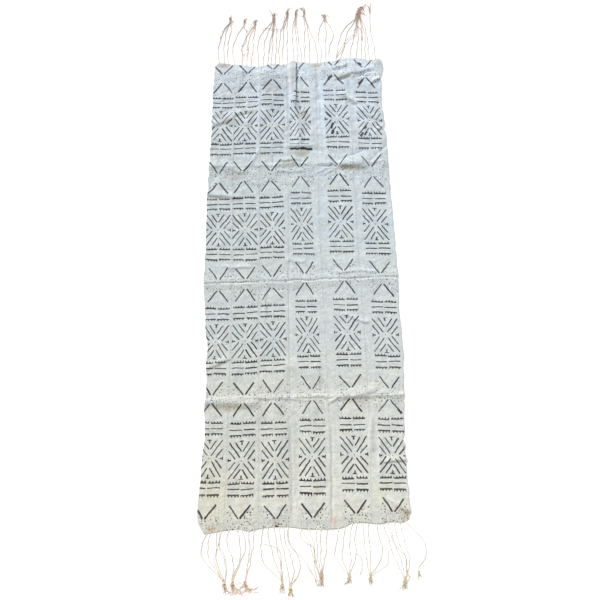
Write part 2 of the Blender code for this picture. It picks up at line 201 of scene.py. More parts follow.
# Sharp creases and narrow troughs: x and y of both ends, half width, height
CREASES = metres((
    (-360, -54, 310, -28, 5.5, -2.4),
    (-360, 351, 290, 373, 7, 0.8),
    (-360, -419, 310, -405, 7, 0.9),
    (122, 602, 162, 579, 7, -3.2),
    (160, 568, 193, 527, 6, -2),
    (210, 377, 262, 430, 7, -2.4),
    (100, 676, 142, 690, 7, -2.2),
    (150, 676, 204, 704, 6, -2),
    (92, 628, 128, 592, 6, 2.4),
    (176, 604, 230, 560, 6, 2.2),
    (214, 640, 252, 606, 6, -1.8),
    (216, 528, 258, 512, 5, -2),
    (60, 452, 100, 414, 6, -1.6),
    (108, 380, 176, 409, 6.5, -2.6),
    (94, 351, 48, 354, 5, -2.2),
    (92, 346, 60, 330, 5, 2),
    (94, 356, 68, 370, 5, 1.8),
    (8, 330, 40, 290, 6, -1.4),
    (-326, 612, -262, 640, 7, -1.4),
    (-300, 462, -236, 440, 7, -1.4),
    (36, 370, 70, 316, 6, 2.4),
    (30, 335, 78, 352, 5, 1.8),
    (20, 368, 52, 330, 5, -1.8),
    (-47, 531, -14, 554, 5, -1.8),
    (-30, 585, -8, 500, 5, -1.6),
    (-24, 520, 10, 470, 5, 1.6),
    (-123, 386, -122, 336, 6, -1.8),
    (-205, 245, -150, 215, 5, -1.2),
    (121, -163, 173, -180, 5, -1.6),
    (-66, -300, -61.5, -505, 8, -1),
    (-61.5, -480, -52, -795, 9, -2.4),
    (67, -520, 64, -795, 7, -1.8),
    (26, 745, 40, 560, 10, -1.8),
    (40, 580, 52, 400, 9, -1.2),
    (-68, -90, -64, -250, 7, -1.2),
    (248, -728, 290, -754, 5, -2),
    (-315, -790, -270, -806, 6, -1),
))

# Crumples left by handling, in metres: size across, size along, turn, height
CRUMPLES = (
    (0.060, 0.046, 0.4, 0.00200),
    (0.026, 0.020, -0.6, 0.00210),
    (0.060, 0.009, 0.04, 0.00060),
    (0.0125, 0.0100, 0.9, 0.00115),
)

# How lively the crumples are along the cloth: y in metres, share
LIVELY = ((-0.82, 0.75), (-0.30, 0.70), (0.20, 0.90), (0.42, 1.35), (0.77, 1.60))

# Lengthwise pleat laid over at the far end of strip 4: x of its edge, how deep it goes under, y of its
# top, of where it has got shallow and of where it is gone, the radius of its bends, and how far from
# the seam on its left its rise starts and how wide that rise is
PLEAT_STRIP = 4
PLEAT_EDGE = -0.045
PLEAT_DEEP = 0.016
PLEAT_TOP = 0.750
PLEAT_SHALLOW = 0.625
PLEAT_GONE = 0.560
PLEAT_BEND = 0.0017
PLEAT_START = 0.006
PLEAT_RISE = 0.0105

# Distances from a woven edge to the first columns of strip 4's mesh
EDGE_STEPS = (0.0, 0.0006, 0.0014, 0.0028)

# Places of the painted pattern, from the top: place in the pattern in mm (0 at the middle of the
# first repeat, up is plus), then x and y of that place on strips 1 to 6
MARKS = (
    (205.5, (-299, 700), (-213, 703), (-127, 719), (-39, 722), (85, 735), (191, 723)),
    (168.5, (-298, 663), (-212, 667), (-127, 679), (-33, 691), (84, 697), (196, 685)),
    (0.0, (-304, 500), (-218, 501), (-125, 503), (-30, 515), (96, 526), (209, 520)),
    (-162.5, (-306, 330), (-224, 336), (-130, 339), (-33, 353), (99, 360), (207, 356)),
    (-199.5, (-305, 293), (-222, 301), (-131, 303), (-29, 318), (99, 327), (213, 318)),
    (-368.0, (-301, 128), (-212, 128), (-121, 133), (-25, 148), (104, 155), (218, 148)),
    (-530.5, (-295, -36), (-209, -36), (-122, -27), (-16, -16), (109, -8), (230, -16)),
    (-567.5, (-295, -75), (-206, -69), (-122, -64), (-15, -48), (113, -43), (236, -51)),
    (-736.0, (-298, -243), (-205, -240), (-115, -234), (-7, -220), (119, -212), (241, -221)),
    (-898.5, (-306, -405), (-205, -405), (-117, -397), (5, -386), (128, -382), (249, -385)),
    (-935.5, (-307, -432), (-207, -432), (-116, -429), (7, -422), (127, -417), (245, -419)),
    (-1104.0, (-307, -598), (-208, -604), (-106, -603), (6, -593), (135, -587), (251, -590)),
    (-1266.5, (-318, -768), (-213, -768), (-103, -768), (8, -763), (136, -752), (248, -747)),
)
# Slope of the painted rows on strips 1 to 6
PAINT_LEAN = (0.0, 0.045, 0.036, 0.005, 0.0, -0.020)
# How narrow the fading pleat draws the pattern of strip 4: y in metres, share of its full width
DRAWN_IN = ((-0.80, 1.00), (-0.45, 0.98), (-0.25, 0.89), (0.15, 0.87), (0.60, 0.86), (0.75, 0.90))

# Painted strokes of one quarter of a repeat, in mm from its middle: both ends, half width, and how
# far an end may wander; the second end wanders no further than the given limit
STROKES = (
    (39.0, 52.0, 7.4, 10.0, 1.80, 2.6),
    (20.2, 51.5, 3.4, 28.0, 1.75, 2.6),
    (38.8, 27.0, 20.2, 4.6, 1.75, 2.6),
    (0.0, 54.5, 5.2, 54.5, 1.45, 1.2),
    (0.5, 53.0, 0.5, 46.0, 1.55, 1.2),
    (40.5, 0.0, 40.5, 4.0, 1.45, 1.2),
    (39.5, 0.5, 33.0, 0.5, 1.55, 1.2),
    (0.7, 0.7, 0.6, 0.6, 0.70, 1.0),
    (31.2, 129.0, 4.4, 164.5, 2.30, 5.5),
)
APEX_WANDER = 1.8
# Painted rows of one quarter: distance from the middle, half width, height of the teeth, their side;
# a row's middle and half length across, in mm
LINES = (
    (70.0, 1.90, 4.6, -1.0),
    (86.0, 1.75, 0.0, 1.0),
    (103.5, 1.90, 4.6, 1.0),
)
LINE_MIDDLE = 21.0
LINE_HALF = 17.0
# How far the middles of the strokes and of the rows lie above the pattern's own middle, in mm
STROKES_UP = 2.0
LINES_UP = 5.0
# Where along the pattern the marks grow bolder, and the dots too: start and full, in mm
BOLDER = (-850.0, -1230.0)
DOTS_BOLDER = (-1110.0, -1200.0)
# Dots lie outside the angle whose arms meet here and lean so, and keep clear of them; they start past
# these distances from the middle of a repeat, and end at these from the strip's middle line, in mm
ANGLE_APEX = 165.5
ANGLE_LEAN = 0.85
ANGLE_CLEAR = 6.0
DOTS_FROM = (130.0, 146.0)
DOTS_OUT_TO = (57.0, 47.0)

# Places where the paint ran or was laid on twice: x and y of both ends, half width
BLOTS = metres((
    (79.7, 509.7, 76.5, 494.8, 4.2),
    (81.5, 484.5, 79.3, 475, 4.6),
    (59.5, 553, 73.1, 537.9, 3.4),
    (176.4, 465.4, 183, 474, 3.6),
    (190, 469, 197.6, 479, 3.2),
    (190, 493, 196, 500, 3.2),
    (66.8, 677.5, 77.3, 689.9, 4),
    (68.8, 682, 73.5, 687.5, 5),
    (176.5, 661.5, 186.8, 675.3, 4.6),
    (175.7, 743.5, 181.7, 736.5, 3.2),
    (-63.7, 417, -28, 418, 3.2),
    (-24, 419, 7.8, 415, 4),
    (272.9, -450.8, 280.7, -459.6, 4),
    (-103, -790.5, -96, -793, 3.4),
))

# Knots of the fringe: x, y, width, height, tail length, sideways reach of the tail
TOP_KNOTS = {
    "a": (-281, 920, 10, 6, 16, 3),
    "b": (-230, 912, 8.5, 5.5, 14, 5),
    "c": (-192, 908, 9, 5.5, 14, 8),
    "d": (-126, 923, 12, 6.5, 26, -4),
    "e": (-77, 946, 10, 6, 24, 4),
    "f": (-47, 944, 9, 5.5, 18, 6),
    "g": (-17, 950, 9, 5.5, 20, -6),
    "h": (56, 930, 10.5, 6, 14, -6),
    "i": (178, 941, 16, 8, 34, 6),
    "j": (219, 953, 5.5, 4.5, 38, 1),
}
BOTTOM_KNOTS = {
    "a": (-253, -953, 11, 6.5, 26, 5),
    "b": (-229, -948, 10.5, 6, 22, 6),
    "c": (-192, -948, 8.5, 5.5, 18, 12),
    "d": (-84, -952, 10, 6, 24, -4),
    "e": (-60, -964, 11, 6.5, 27, 3),
    "f": (29, -938, 11.5, 6.5, 18, 3),
    "g": (112, -934, 10.5, 6, 18, -10),
    "h": (173, -934, 10, 6, 16, 6),
    "i": (274, -944, 11, 6.5, 22, 1),
    "j": (316, -916, 5, 4.5, 24, 7),
}

# Strands: strip, x of the root, knot, lane beside the knot's middle, bow and sway on the way to it
TOP_STRANDS = (
    (1, -316, "a", -1, -18, 4), (1, -297, "a", 0, -12, 3), (1, -281, "a", 1, -6, -4),
    (1, -260, "b", 0, -22, 3), (2, -236, "c", -1, -18, 6), (2, -219, "c", 0, -10, 4),
    (2, -202, "c", 1, -3, 2), (2, -178, "d", -2, -26, 10), (3, -160, "d", -1, -13, 4),
    (3, -146, "d", 0, -2, 2), (3, -133, "d", 1, 0, 0), (3, -119, "d", 2, 6, -2),
    (3, -104, "e", -1, -13, 3), (3, -91, "e", 0, -8, 2), (4, -76.5, "e", 1, -2, 1),
    (4, -55, "f", -1, -6, 3), (4, -40, "f", 0, -2, 2), (4, -24.5, "f", 1, -3, 0),
    (4, -14, "g", -1, 2, -2), (4, 1, "g", 0, 8, -2), (5, 28, "g", 1, 9, 0), (5, 41, "h", -1, -12, 8),
    (5, 60, "h", 0, 2, -2), (5, 73, "h", 1, 16, -12), (5, 94, "i", -3, -24, 13),
    (5, 110, "i", -2, -10, 9), (6, 145, "i", -1, -2, 2), (6, 166, "i", 0, 2, 2),
    (6, 184, "i", 1, 6, -2), (6, 199, "i", 2, 8, -3), (6, 214, "i", 3, 8, -6), (6, 235, "j", 0, -3, 0),
)
BOTTOM_STRANDS = (
    (1, -306.5, "a", -2, -36, 2), (1, -296.8, "a", -1, -24, 3), (1, -279, "a", 0, -12, 4),
    (1, -265, "a", 1, -3, -6), (2, -243, "b", -1, 1, -7), (2, -220, "b", 0, 17, 0),
    (2, -204, "b", 1, 18, 1), (2, -184, "c", 0, 6, -1), (2, -168, "c", 1, 4, -2),
    (3, -142, "d", -1, -32, 10), (3, -126, "d", 0, -8, 2), (3, -108, "d", 1, 0, 1),
    (3, -92, "e", -1, 0, 0), (3, -79, "e", 0, 10, -6), (3, -67, "e", 1, 22, -12),
    (4, -28.5, "f", -2, 6, 8), (4, -5, "f", -1, 1, 6), (4, 18, "f", 0, -4, 1), (4, 31, "f", 1, -2, -1),
    (4, 49, "f", 2, 2, -1), (5, 84, "g", -2, -24, 6), (5, 103, "g", -1, -14, 3),
    (5, 125, "g", 0, -3, -5), (5, 139, "g", 1, 5, -7), (5, 156, "h", -1, -4, 1),
    (5, 171, "h", 0, 3, -1), (6, 197, "h", 1, 24, -8), (6, 216, "i", -1, -4, 6),
    (6, 231, "i", 0, 3, 2), (6, 250, "i", 1, 7, -4), (6, 267, "i", 2, 12, -4),
    (6, 284, "j", 0, 38.5, 0),
)

# Loose yarns that cross between the knots: strip, half thickness, tone, then x and y along the yarn
TOP_LOOSE = (
    (1, 1, 0.5, (-268, 912), (-285, 900), (-300, 882), (-312, 855), (-316, 820)),
    (1, 1.1, 0.7, (-232, 914), (-231, 884), (-222, 872), (-223, 853), (-223, 825)),
    (2, 1, 0.4, (-198, 912), (-206, 892), (-211, 878), (-222, 872)),
    (2, 0.9, 0.4, (-223, 826), (-240, 807), (-238, 791), (-228, 778), (-218, 797), (-219, 815),
     (-224, 828)),
    (2, 0.8, 0.1, (-228, 778), (-236, 758), (-235, 742)),
    (2, 0.9, 0.2, (-218, 800), (-208, 770), (-204, 742)),
    (3, 1, 0.5, (-165, 876), (-160, 882), (-145, 882), (-127, 879), (-110, 878), (-92, 882),
     (-90, 902), (-85, 934), (-76, 957)),
    (3, 1.2, 0.5, (-126, 930), (-127, 878), (-134, 837), (-142, 785)),
    (3, 1.1, 0.6, (-128, 925), (-132, 941), (-142, 960)),
    (3, 0.9, 0.5, (-127, 925), (-122, 942), (-110, 939)),
    (4, 1, 0.6, (-47, 946), (-45, 956), (-33, 961), (-18, 965), (-15, 946)),
    (4, 0.9, 0.3, (-20, 928), (-24, 937), (-30, 933)),
    (5, 0.9, 0.4, (43, 936), (52, 932), (62, 938), (72, 930)),
    (6, 1.3, 0.6, (166, 926), (171, 948), (180, 950), (190, 947), (197, 955), (195, 965), (186, 968),
     (179, 961), (180, 948)),
    (6, 1.1, 0.6, (186, 966), (198, 972), (206, 983)),
    (6, 1, 0.5, (178, 940), (192, 944), (204, 937)),
    (6, 1.3, 0.7, (171, 936), (168, 892), (165, 861), (144, 845), (127, 825), (111, 797), (99, 770)),
    (6, 1.1, 0.6, (171, 905), (172, 888), (184, 881), (188, 857), (190, 833)),
)
BOTTOM_LOOSE = (
    (1, 0.9, 0.1, (-271, -806), (-273, -843), (-287, -870), (-278, -901), (-259, -939)),
    (1, 0.9, 0.1, (-273, -843), (-255, -870), (-248, -903), (-250, -939)),
    (2, 0.9, 0.7, (-252, -966), (-223, -971), (-187, -965), (-157, -960)),
    (2, 0.9, 0.6, (-240, -950), (-217, -960), (-197, -955), (-174, -967)),
    (2, 0.9, 0.6, (-243, -977), (-226, -963), (-205, -974), (-185, -957)),
    (2, 0.8, 0.5, (-232, -955), (-222, -975), (-210, -962), (-201, -978)),
    (2, 0.8, 0.6, (-226, -948), (-212, -966), (-196, -950), (-183, -968), (-168, -958)),
    (2, 0.7, 0.4, (-236, -980), (-215, -968), (-199, -979), (-178, -969), (-152, -972)),
    (2, 0.7, 0.5, (-219, -950), (-207, -944), (-193, -957), (-188, -972)),
    (2, 0.7, 0.3, (-204, -958), (-188, -950), (-170, -962), (-150, -955)),
    (3, 0.9, 0.2, (-144, -838), (-108, -846), (-90, -864), (-88, -925), (-84, -955)),
    (3, 1, 0.4, (-70, -800), (-67, -832), (-49, -854), (-25, -877), (-2, -909), (14, -938)),
    (4, 0.9, 0.4, (-31, -803), (-29, -822), (-13, -836), (7, -848), (11, -881), (9, -905), (20, -940)),
    (4, 0.9, 0.2, (-18, -895), (1, -917), (20, -945)),
    (4, 1.2, 0.7, (12, -938), (19, -950), (31, -946), (35, -930), (34, -915)),
    (5, 0.9, 0.5, (131, -864), (146, -873), (150, -898), (144, -925)),
    (5, 0.9, 0.5, (176, -928), (186, -916), (204, -906), (225, -890), (229, -857)),
    (6, 0.9, 0.5, (238, -815), (244, -836), (264, -857), (278, -873), (280, -906), (287, -930)),
    (6, 1, 0.6, (276, -946), (284, -936), (291, -925)),
)

# Stains, painted shade and painted highlights: x, y, half size across and along, colour to multiply by
STAINS_AND_PAINTED_LIGHT = (
    (-300, 735, 26, 12, (0.75, 0.63, 0.57)),
    (20, 734, 26, 12, (0.84, 0.78, 0.72)),
    (-100, 734, 20, 10, (0.88, 0.84, 0.80)),
    (32, 735, 10, 14, (0.90, 0.80, 0.74)),
    (246, 744, 16, 16, (0.76, 0.71, 0.62)),
    (-120, 640, 50, 55, (0.90, 0.88, 0.88)),
    (-20, 548, 20, 14, (0.84, 0.76, 0.68)),
    (-280, 520, 36, 16, (0.88, 0.84, 0.78)),
    (-208, 556, 30, 10, (0.84, 0.80, 0.75)),
    (115, 694, 50, 12, (0.88, 0.84, 0.76)),
    (-294, -799, 14, 7, (0.88, 0.66, 0.46)),
    (-105, -780, 10, 11, (0.92, 0.74, 0.71)),
    (69.5, -776, 8, 26, (0.95, 0.80, 0.78)),
    (283, -751, 18, 20, (0.84, 0.76, 0.66)),
    # Brownish and olive tints on the shaded sides of folds and creases: partly stains, partly painted
    # shade
    (-26, 402, 36, 16, (0.88, 0.81, 0.72)),
    (-68, 366, 28, 10, (0.86, 0.82, 0.72)),
    (-245, -446, 55, 13, (0.88, 0.82, 0.74)),
    (-255, 322, 40, 16, (0.90, 0.86, 0.80)),
    (140, 348, 50, 12, (0.84, 0.77, 0.67)),
    (117, 351, 18, 8, (0.80, 0.81, 0.72)),
    (150, -422, 50, 10, (0.88, 0.82, 0.74)),
    (-320, 244, 30, 8, (0.90, 0.87, 0.80)),
    # Painted highlights: lighter, bluer patches where the cloth faces the light
    (45, 560, 22, 150, (1.06, 1.09, 1.12)),
    (47, 180, 22, 200, (0.98, 1.00, 1.02)),
    (-12, 700, 30, 30, (1.08, 1.11, 1.14)),
    (90, 720, 36, 14, (1.08, 1.11, 1.13)),
    (205, 715, 40, 24, (1.10, 1.12, 1.15)),
    (170, 570, 20, 60, (1.07, 1.09, 1.12)),
    (190, 408, 40, 16, (1.03, 1.06, 1.09)),
    (20, 400, 30, 26, (1.05, 1.08, 1.10)),
    (-220, 392, 50, 10, (1.06, 1.10, 1.11)),
    (-105, 190, 36, 16, (1.06, 1.10, 1.12)),
    (270, 170, 20, 60, (1.03, 1.05, 1.09)),
    # Painted shade on the pleat's flap and along seams 4 and 3, and painted highlights on strips 4 to 6
    (-59, 690, 15, 85, (0.94, 0.885, 0.87)),
    (-28, 700, 12, 22, (1.14, 1.12, 1.15)),
    (22, 690, 18, 45, (0.94, 0.92, 0.92)),
    (29, 508, 14, 50, (1.04, 1.03, 1.06)),
    (228, 690, 22, 30, (1.10, 1.08, 1.05)),
    (-52, -586, 12, 160, (0.94, 0.93, 0.93)),
    # Painted shade along the narrow fold between strips 5 and 6, and a painted highlight above it
    (135, 595, 10, 4.5, (0.78, 0.77, 0.72)),
    (151, 585.5, 10, 4.5, (0.78, 0.77, 0.73)),
    (143, 608, 14, 6, (1.06, 1.07, 1.08)),
    # Stains, and yellower cloth toward the near end
    (245, 488, 8, 7, (0.78, 0.72, 0.66)),
    (-290, -700, 60, 110, (1.00, 0.99, 0.93)),
    (110, -765, 40, 24, (1.00, 1.01, 0.95)),
    (205, -700, 36, 70, (0.99, 1.00, 0.95)),
    (250, -745, 24, 14, (0.96, 0.88, 0.86)),
)

# Colours of the ink and of the wash, from the near end to the far end: places along the pattern
# where each next one starts and is full, colour
INK = (0.016, 0.018, 0.020)
NEAR_WASH = (0.765, 0.755, 0.672)
WASH = (
    (-1250.0, -1050.0, (0.708, 0.715, 0.662)),
    (-950.0, -700.0, (0.668, 0.710, 0.704)),
    (-600.0, -300.0, (0.642, 0.704, 0.720)),
    (-150.0, 100.0, (0.656, 0.726, 0.784)),
)

# Shades of the yarn toward both ends: y in metres where each starts and is full, colour to multiply by
YARN_SHADES = (
    (0.74, 0.79, (0.87, 0.82, 0.84)),
    (0.82, 0.93, (0.87, 0.79, 0.75)),
    (-0.88, -0.95, (0.96, 0.87, 0.78)),
)

# Tinges of the yarn: x, y, reach, colour to multiply by
TINGES = (
    (186, 958, 26, (1.00, 0.76, 0.76)),
    (170, 912, 20, (0.84, 0.85, 0.76)),
    (-85, 925, 22, (0.90, 0.80, 0.84)),
    (-205, -962, 45, (1.06, 0.95, 0.91)),
    (-60, -968, 16, (0.94, 0.95, 0.78)),
    (112, -938, 18, (0.92, 0.94, 0.84)),
    (173, -936, 18, (0.88, 0.92, 0.80)),
    (274, -948, 18, (0.90, 0.92, 0.82)),
    (36, -925, 14, (0.78, 0.68, 0.64)),
)


def smooth(t):
    t = np.clip(t, 0.0, 1.0)
    return t * t * (3.0 - 2.0 * t)


def curve(table, at, column=1):
    """Values of a table's column at places in its first column, on a smooth line through the rows."""
    rows = np.array(table)
    x, y = rows[:, 0], rows[:, column]
    at = np.asarray(at, dtype=float)
    k = np.clip(np.searchsorted(x, at) - 1, 0, len(x) - 2)
    before = np.maximum(k - 1, 0)
    after = np.minimum(k + 2, len(x) - 1)
    step = x[k + 1] - x[k]
    t = np.clip((at - x[k]) / step, 0.0, 1.0)
    slope0 = (y[k + 1] - y[before]) / (x[k + 1] - x[before]) * step
    slope1 = (y[after] - y[k]) / (x[after] - x[k]) * step
    a = 2 * t**3 - 3 * t**2 + 1
    return a * y[k] + (t**3 - 2 * t**2 + t) * slope0 + (1 - a) * y[k + 1] + (t**3 - t**2) * slope1


def line_y(middle, x):
    """y at x of the crosswise line that passes x = 0 at middle, taking on the outline of a near end."""
    y = middle + curve(LEAN, middle) * x
    for end_line in (TOP_END, BOTTOM_END):
        end = curve(end_line, 0.0)
        near = 1.0 - smooth(np.abs(end - middle) / END_REACH)
        y = y + near * (curve(end_line, x) - end - curve(LEAN, end) * x)
    return y


def side_x(line, y):
    """x of line 0 (left edge), 1 to 5 (seams) or 6 (right edge) at y."""
    if 0 < line < 6:
        return curve(SEAMS, y, line)
    edge, seed = (RIGHT_EDGE, 42) if line else (LEFT_EDGE, 41)
    x = curve(edge, y) + EDGE_WAVE * (noise(0.0, y, 1.0, 0.018, 0.0, seed) - 0.5)
    for at, deep, half in NOTCHES if line else ():
        x = x - deep * np.exp(-(((y - at) / half) ** 2))
    return x


def side_on(line, middle):
    """x of a line along the cloth where it meets the crosswise lines named by their middles."""
    x = side_x(line, middle)
    for _ in range(3):
        x = side_x(line, line_y(middle, x))
    return x


def noise(x, y, wide, long, turn, seed):
    """Smooth random values from 0 to 1, with bumps wide by long, turned by an angle."""
    table = np.random.default_rng(seed).random((256, 256))
    u = (x * math.cos(turn) + y * math.sin(turn)) / wide
    v = (y * math.cos(turn) - x * math.sin(turn)) / long
    i, j = np.floor(u).astype(int), np.floor(v).astype(int)
    fu, fv = smooth(u - i), smooth(v - j)
    i, j = i % 256, j % 256
    i1, j1 = (i + 1) % 256, (j + 1) % 256
    low = table[i, j] * (1 - fu) + table[i1, j] * fu
    high = table[i, j1] * (1 - fu) + table[i1, j1] * fu
    return low * (1 - fv) + high * fv


def beside(x, y, x0, y0, x1, y1):
    """Distance to the left of the line between two points, and distance beyond its nearer end."""
    long = math.hypot(x1 - x0, y1 - y0)
    ux, uy = (x1 - x0) / long, (y1 - y0) / long
    along = (x - x0) * ux + (y - y0) * uy
    aside = (y - y0) * ux - (x - x0) * uy
    return aside, np.maximum(np.maximum(-along, along - long), 0.0)


def from_ends(x, y):
    """Distance along the cloth from the nearer fringed end."""
    return np.minimum(curve(TOP_END, x) - y, y - curve(BOTTOM_END, x))


def relief(x, y):
    """Height of the cloth's underside above the floor, apart from the pleat."""
    height = np.zeros(np.broadcast(x, y).shape)
    for *sizes, right in FOLDS:
        x0, y0, x1, y1, half, high = metres(sizes)
        aside, beyond = beside(x, y, x0, y0, x1, y1)
        aside = aside + 0.010 * (noise(x, y, 0.035, 0.035, 0.5, 61) - 0.5)
        share = 1.0 - smooth(np.where(aside > 0.0, aside, -aside / right) / half)
        share = share * (1.0 - smooth(beyond / (1.5 * half)))
        height = np.maximum(height, high * share)
    lively = np.interp(y, *zip(*LIVELY))
    for seed, (wide, long, turn, high) in enumerate(CRUMPLES):
        height = height + high * lively * noise(x, y, wide, long, turn, 11 + seed)
    for x0, y0, x1, y1, half, high in CREASES:
        aside, beyond = beside(x, y, x0, y0, x1, y1)
        aside = np.abs(aside + 0.005 * (noise(x, y, 0.030, 0.030, 0.9, 62) - 0.5))
        uneven = 0.6 + 0.8 * noise(x, y, 0.05, 0.05, 0.3, 71)
        share = np.clip(1.0 - aside / half, 0.0, 1.0) * (1.0 - smooth(beyond / 0.015))
        height = height + high * uneven * share
    return FLOOR_GAP + np.maximum(height, 0.0) * smooth((from_ends(x, y) - END_FLAT) / END_RISE)


def plain_shares():
    """Shares across a strip, closer together at its woven edges."""
    edge = (0.0, 0.005, 0.012, 0.022, 0.036)
    inner = np.linspace(0.055, 0.945, 36)
    return np.array([*edge, *inner, *(1.0 - share for share in reversed(edge))])


def bend(x, z, start, turn, steps=9):
    """Points of a half circle about (x, z)."""
    angles = start + turn * np.arange(steps) / (steps - 1)
    return [(x + PLEAT_BEND * math.cos(a), z + PLEAT_BEND * math.sin(a)) for a in angles]


def pleat_section(left, right, middle):
    """Across strip 4: up, over to the pleat's edge, back under it, and on to the right."""
    r = PLEAT_BEND
    share = smooth((middle - PLEAT_SHALLOW) / (PLEAT_TOP - PLEAT_SHALLOW))
    deep = 3 * r + (PLEAT_DEEP - 3 * r) * share
    fade = smooth((PLEAT_SHALLOW - middle) / (PLEAT_SHALLOW - PLEAT_GONE))
    start = left + PLEAT_START
    rise_end = start + PLEAT_RISE
    points = [(left + s, 0.0) for s in EDGE_STEPS]
    points += [(start + PLEAT_RISE * k / 6, 4 * r * smooth(k / 6)) for k in range(7)]
    points += [(rise_end + (PLEAT_EDGE - r - rise_end) * k / 6, 4 * r) for k in range(1, 6)]
    points += bend(PLEAT_EDGE - r, 3 * r, math.pi / 2, -math.pi)
    points += bend(PLEAT_EDGE - deep + r, r, math.pi / 2, math.pi)
    first = points[-1][0]
    points += [(first + (right - EDGE_STEPS[-1] - first) * k / 24, 0.0) for k in range(1, 25)]
    points += [(right - s, 0.0) for s in reversed(EDGE_STEPS[:-1])]
    line = np.array(points)
    run = run_of(line)
    line[:, 0] = line[:, 0] * (1 - fade) + (left + (right - left) * run / run[-1]) * fade
    line[:, 1] *= 1 - fade
    return line


def run_of(line):
    """Distance along a line to each of its points."""
    steps = np.linalg.norm(np.diff(line, axis=0), axis=1)
    return np.concatenate([[0.0], np.cumsum(steps)])


def middles_of_rows():
    """Places of the crosswise rows, closer together at the storage creases."""
    fine = np.linspace(curve(BOTTOM_END, 0.0), curve(TOP_END, 0.0), 20001)
    weight = np.ones_like(fine)
    for crease in STORAGE_CREASES:
        weight += 2.5 * np.exp(-(((fine - crease) / 0.008) ** 2))
    total = np.cumsum(weight)
    total = (total - total[0]) / (total[-1] - total[0])
    return np.interp(np.linspace(0.0, 1.0, BANDS * ROWS_OF_BAND + 1), total, fine)


def strip_lines(strip, middles):
    """Middle layer of a strip: x, height and distance across, one row for each crosswise line."""
    left, right = side_on(strip - 1, middles), side_on(strip, middles)
    if strip == PLEAT_STRIP:
        lines = np.array([pleat_section(*sides) for sides in zip(left, right, middles)])
        across = np.array([run_of(line) for line in lines])
        return lines[..., 0], lines[..., 1], across
    across = np.outer(right - left, plain_shares())
    return left[:, None] + across, np.zeros_like(across), across


def paint_places(strip, x, y, across):
    """Where each point lies in the painted pattern: mm right of its middle line, and mm along it."""
    xs, ys = np.array([metres(row[strip]) for row in MARKS]).T
    places = np.array([row[0] for row in MARKS])

    # Past the last marks the pattern runs on at the far end, and nearly stops at the near end
    ys = np.concatenate([[ys[0] + 0.060], ys, [ys[-1] - 0.022, ys[-1] - 0.080]])[::-1]
    xs = np.concatenate([[xs[0]], xs, [xs[-1], xs[-1]]])[::-1]
    places = np.concatenate([[places[0] + 60.0], places, [places[-1] - 22.0, places[-1] - 24.0]])[::-1]
    row_y = y.mean(axis=1)
    middle_x = np.interp(row_y, ys, xs)
    middle_across = np.empty_like(middle_x)
    for k, at in enumerate(middle_x):
        last = max(np.count_nonzero(x[k] <= at) - 1, 0)
        share = (at - x[k, last]) / (x[k, last + 1] - x[k, last])
        middle_across[k] = across[k, last] + share * (across[k, last + 1] - across[k, last])
    right = (across - middle_across[:, None]) * 1000.0
    if strip == PLEAT_STRIP:
        right = right / np.interp(row_y, *zip(*DRAWN_IN))[:, None]
    level = y - PAINT_LEAN[strip - 1] * (x - middle_x[:, None])
    return right, np.interp(level, ys, places)


def new_object(name, corners, faces, material):
    mesh = bpy.data.meshes.new(name)
    mesh.from_pydata(corners, [], faces)
    mesh.materials.append(material)
    mesh.polygons.foreach_set("use_smooth", [True] * len(mesh.polygons))
    obj = bpy.data.objects.new(name, mesh)
    bpy.context.scene.collection.objects.link(obj)
    return obj


def set_values(mesh, name, kind, field, values):
    """Stores one value for each corner point of a mesh, for its material to read."""
    attribute = mesh.attributes.new(name, kind, "POINT")
    attribute.data.foreach_set(field, np.asarray(values, dtype=np.float32).ravel())


def grid_faces(rows, columns):
    """Quads of the upper and under skins of a sheet and of its rim, with the rim last."""
    index = np.arange(rows * columns).reshape(rows, columns)
    a, b, c, d = index[:-1, :-1], index[:-1, 1:], index[1:, 1:], index[1:, :-1]
    low = rows * columns
    upper = np.stack([a, b, c, d], axis=-1).reshape(-1, 4)
    under = np.stack([a, d, c, b], axis=-1).reshape(-1, 4) + low
    rim = []
    for line, flip in ((index[0], False), (index[-1], True), (index[:, 0], True), (index[:, -1], False)):
        one, two = line[:-1], line[1:]
        if flip:
            one, two = two, one
        rim.append(np.stack([one + low, two + low, two, one], axis=-1))
    return np.concatenate([upper, under, *rim])


def unfolded(faces, rows, columns, across):
    """Flat layout of a sheet's skins in upright bands side by side, one place for each face corner."""
    size = rows * columns
    skins = 2 * (rows - 1) * (columns - 1)
    quads = np.arange(len(faces))
    row_of_quad = np.where(quads < skins, quads % (skins // 2) // (columns - 1), 0)
    band = row_of_quad // ROWS_OF_BAND
    is_under = (quads >= skins // 2) & (quads < skins)
    point = faces % size
    row, column = point // columns, point % columns
    band = np.where(quads < skins, band, np.minimum(row.min(axis=1) // ROWS_OF_BAND, BANDS - 1))
    share = (across / across[:, -1:])[row, column]
    height = (row - band[:, None] * ROWS_OF_BAND) / ROWS_OF_BAND
    place = band + np.where(is_under, BANDS, 0)
    u = (place[:, None] + 0.02 + 0.96 * share) / (2 * BANDS)
    return np.stack([u, 0.005 + 0.99 * np.clip(height, 0.0, 1.0)], axis=-1)


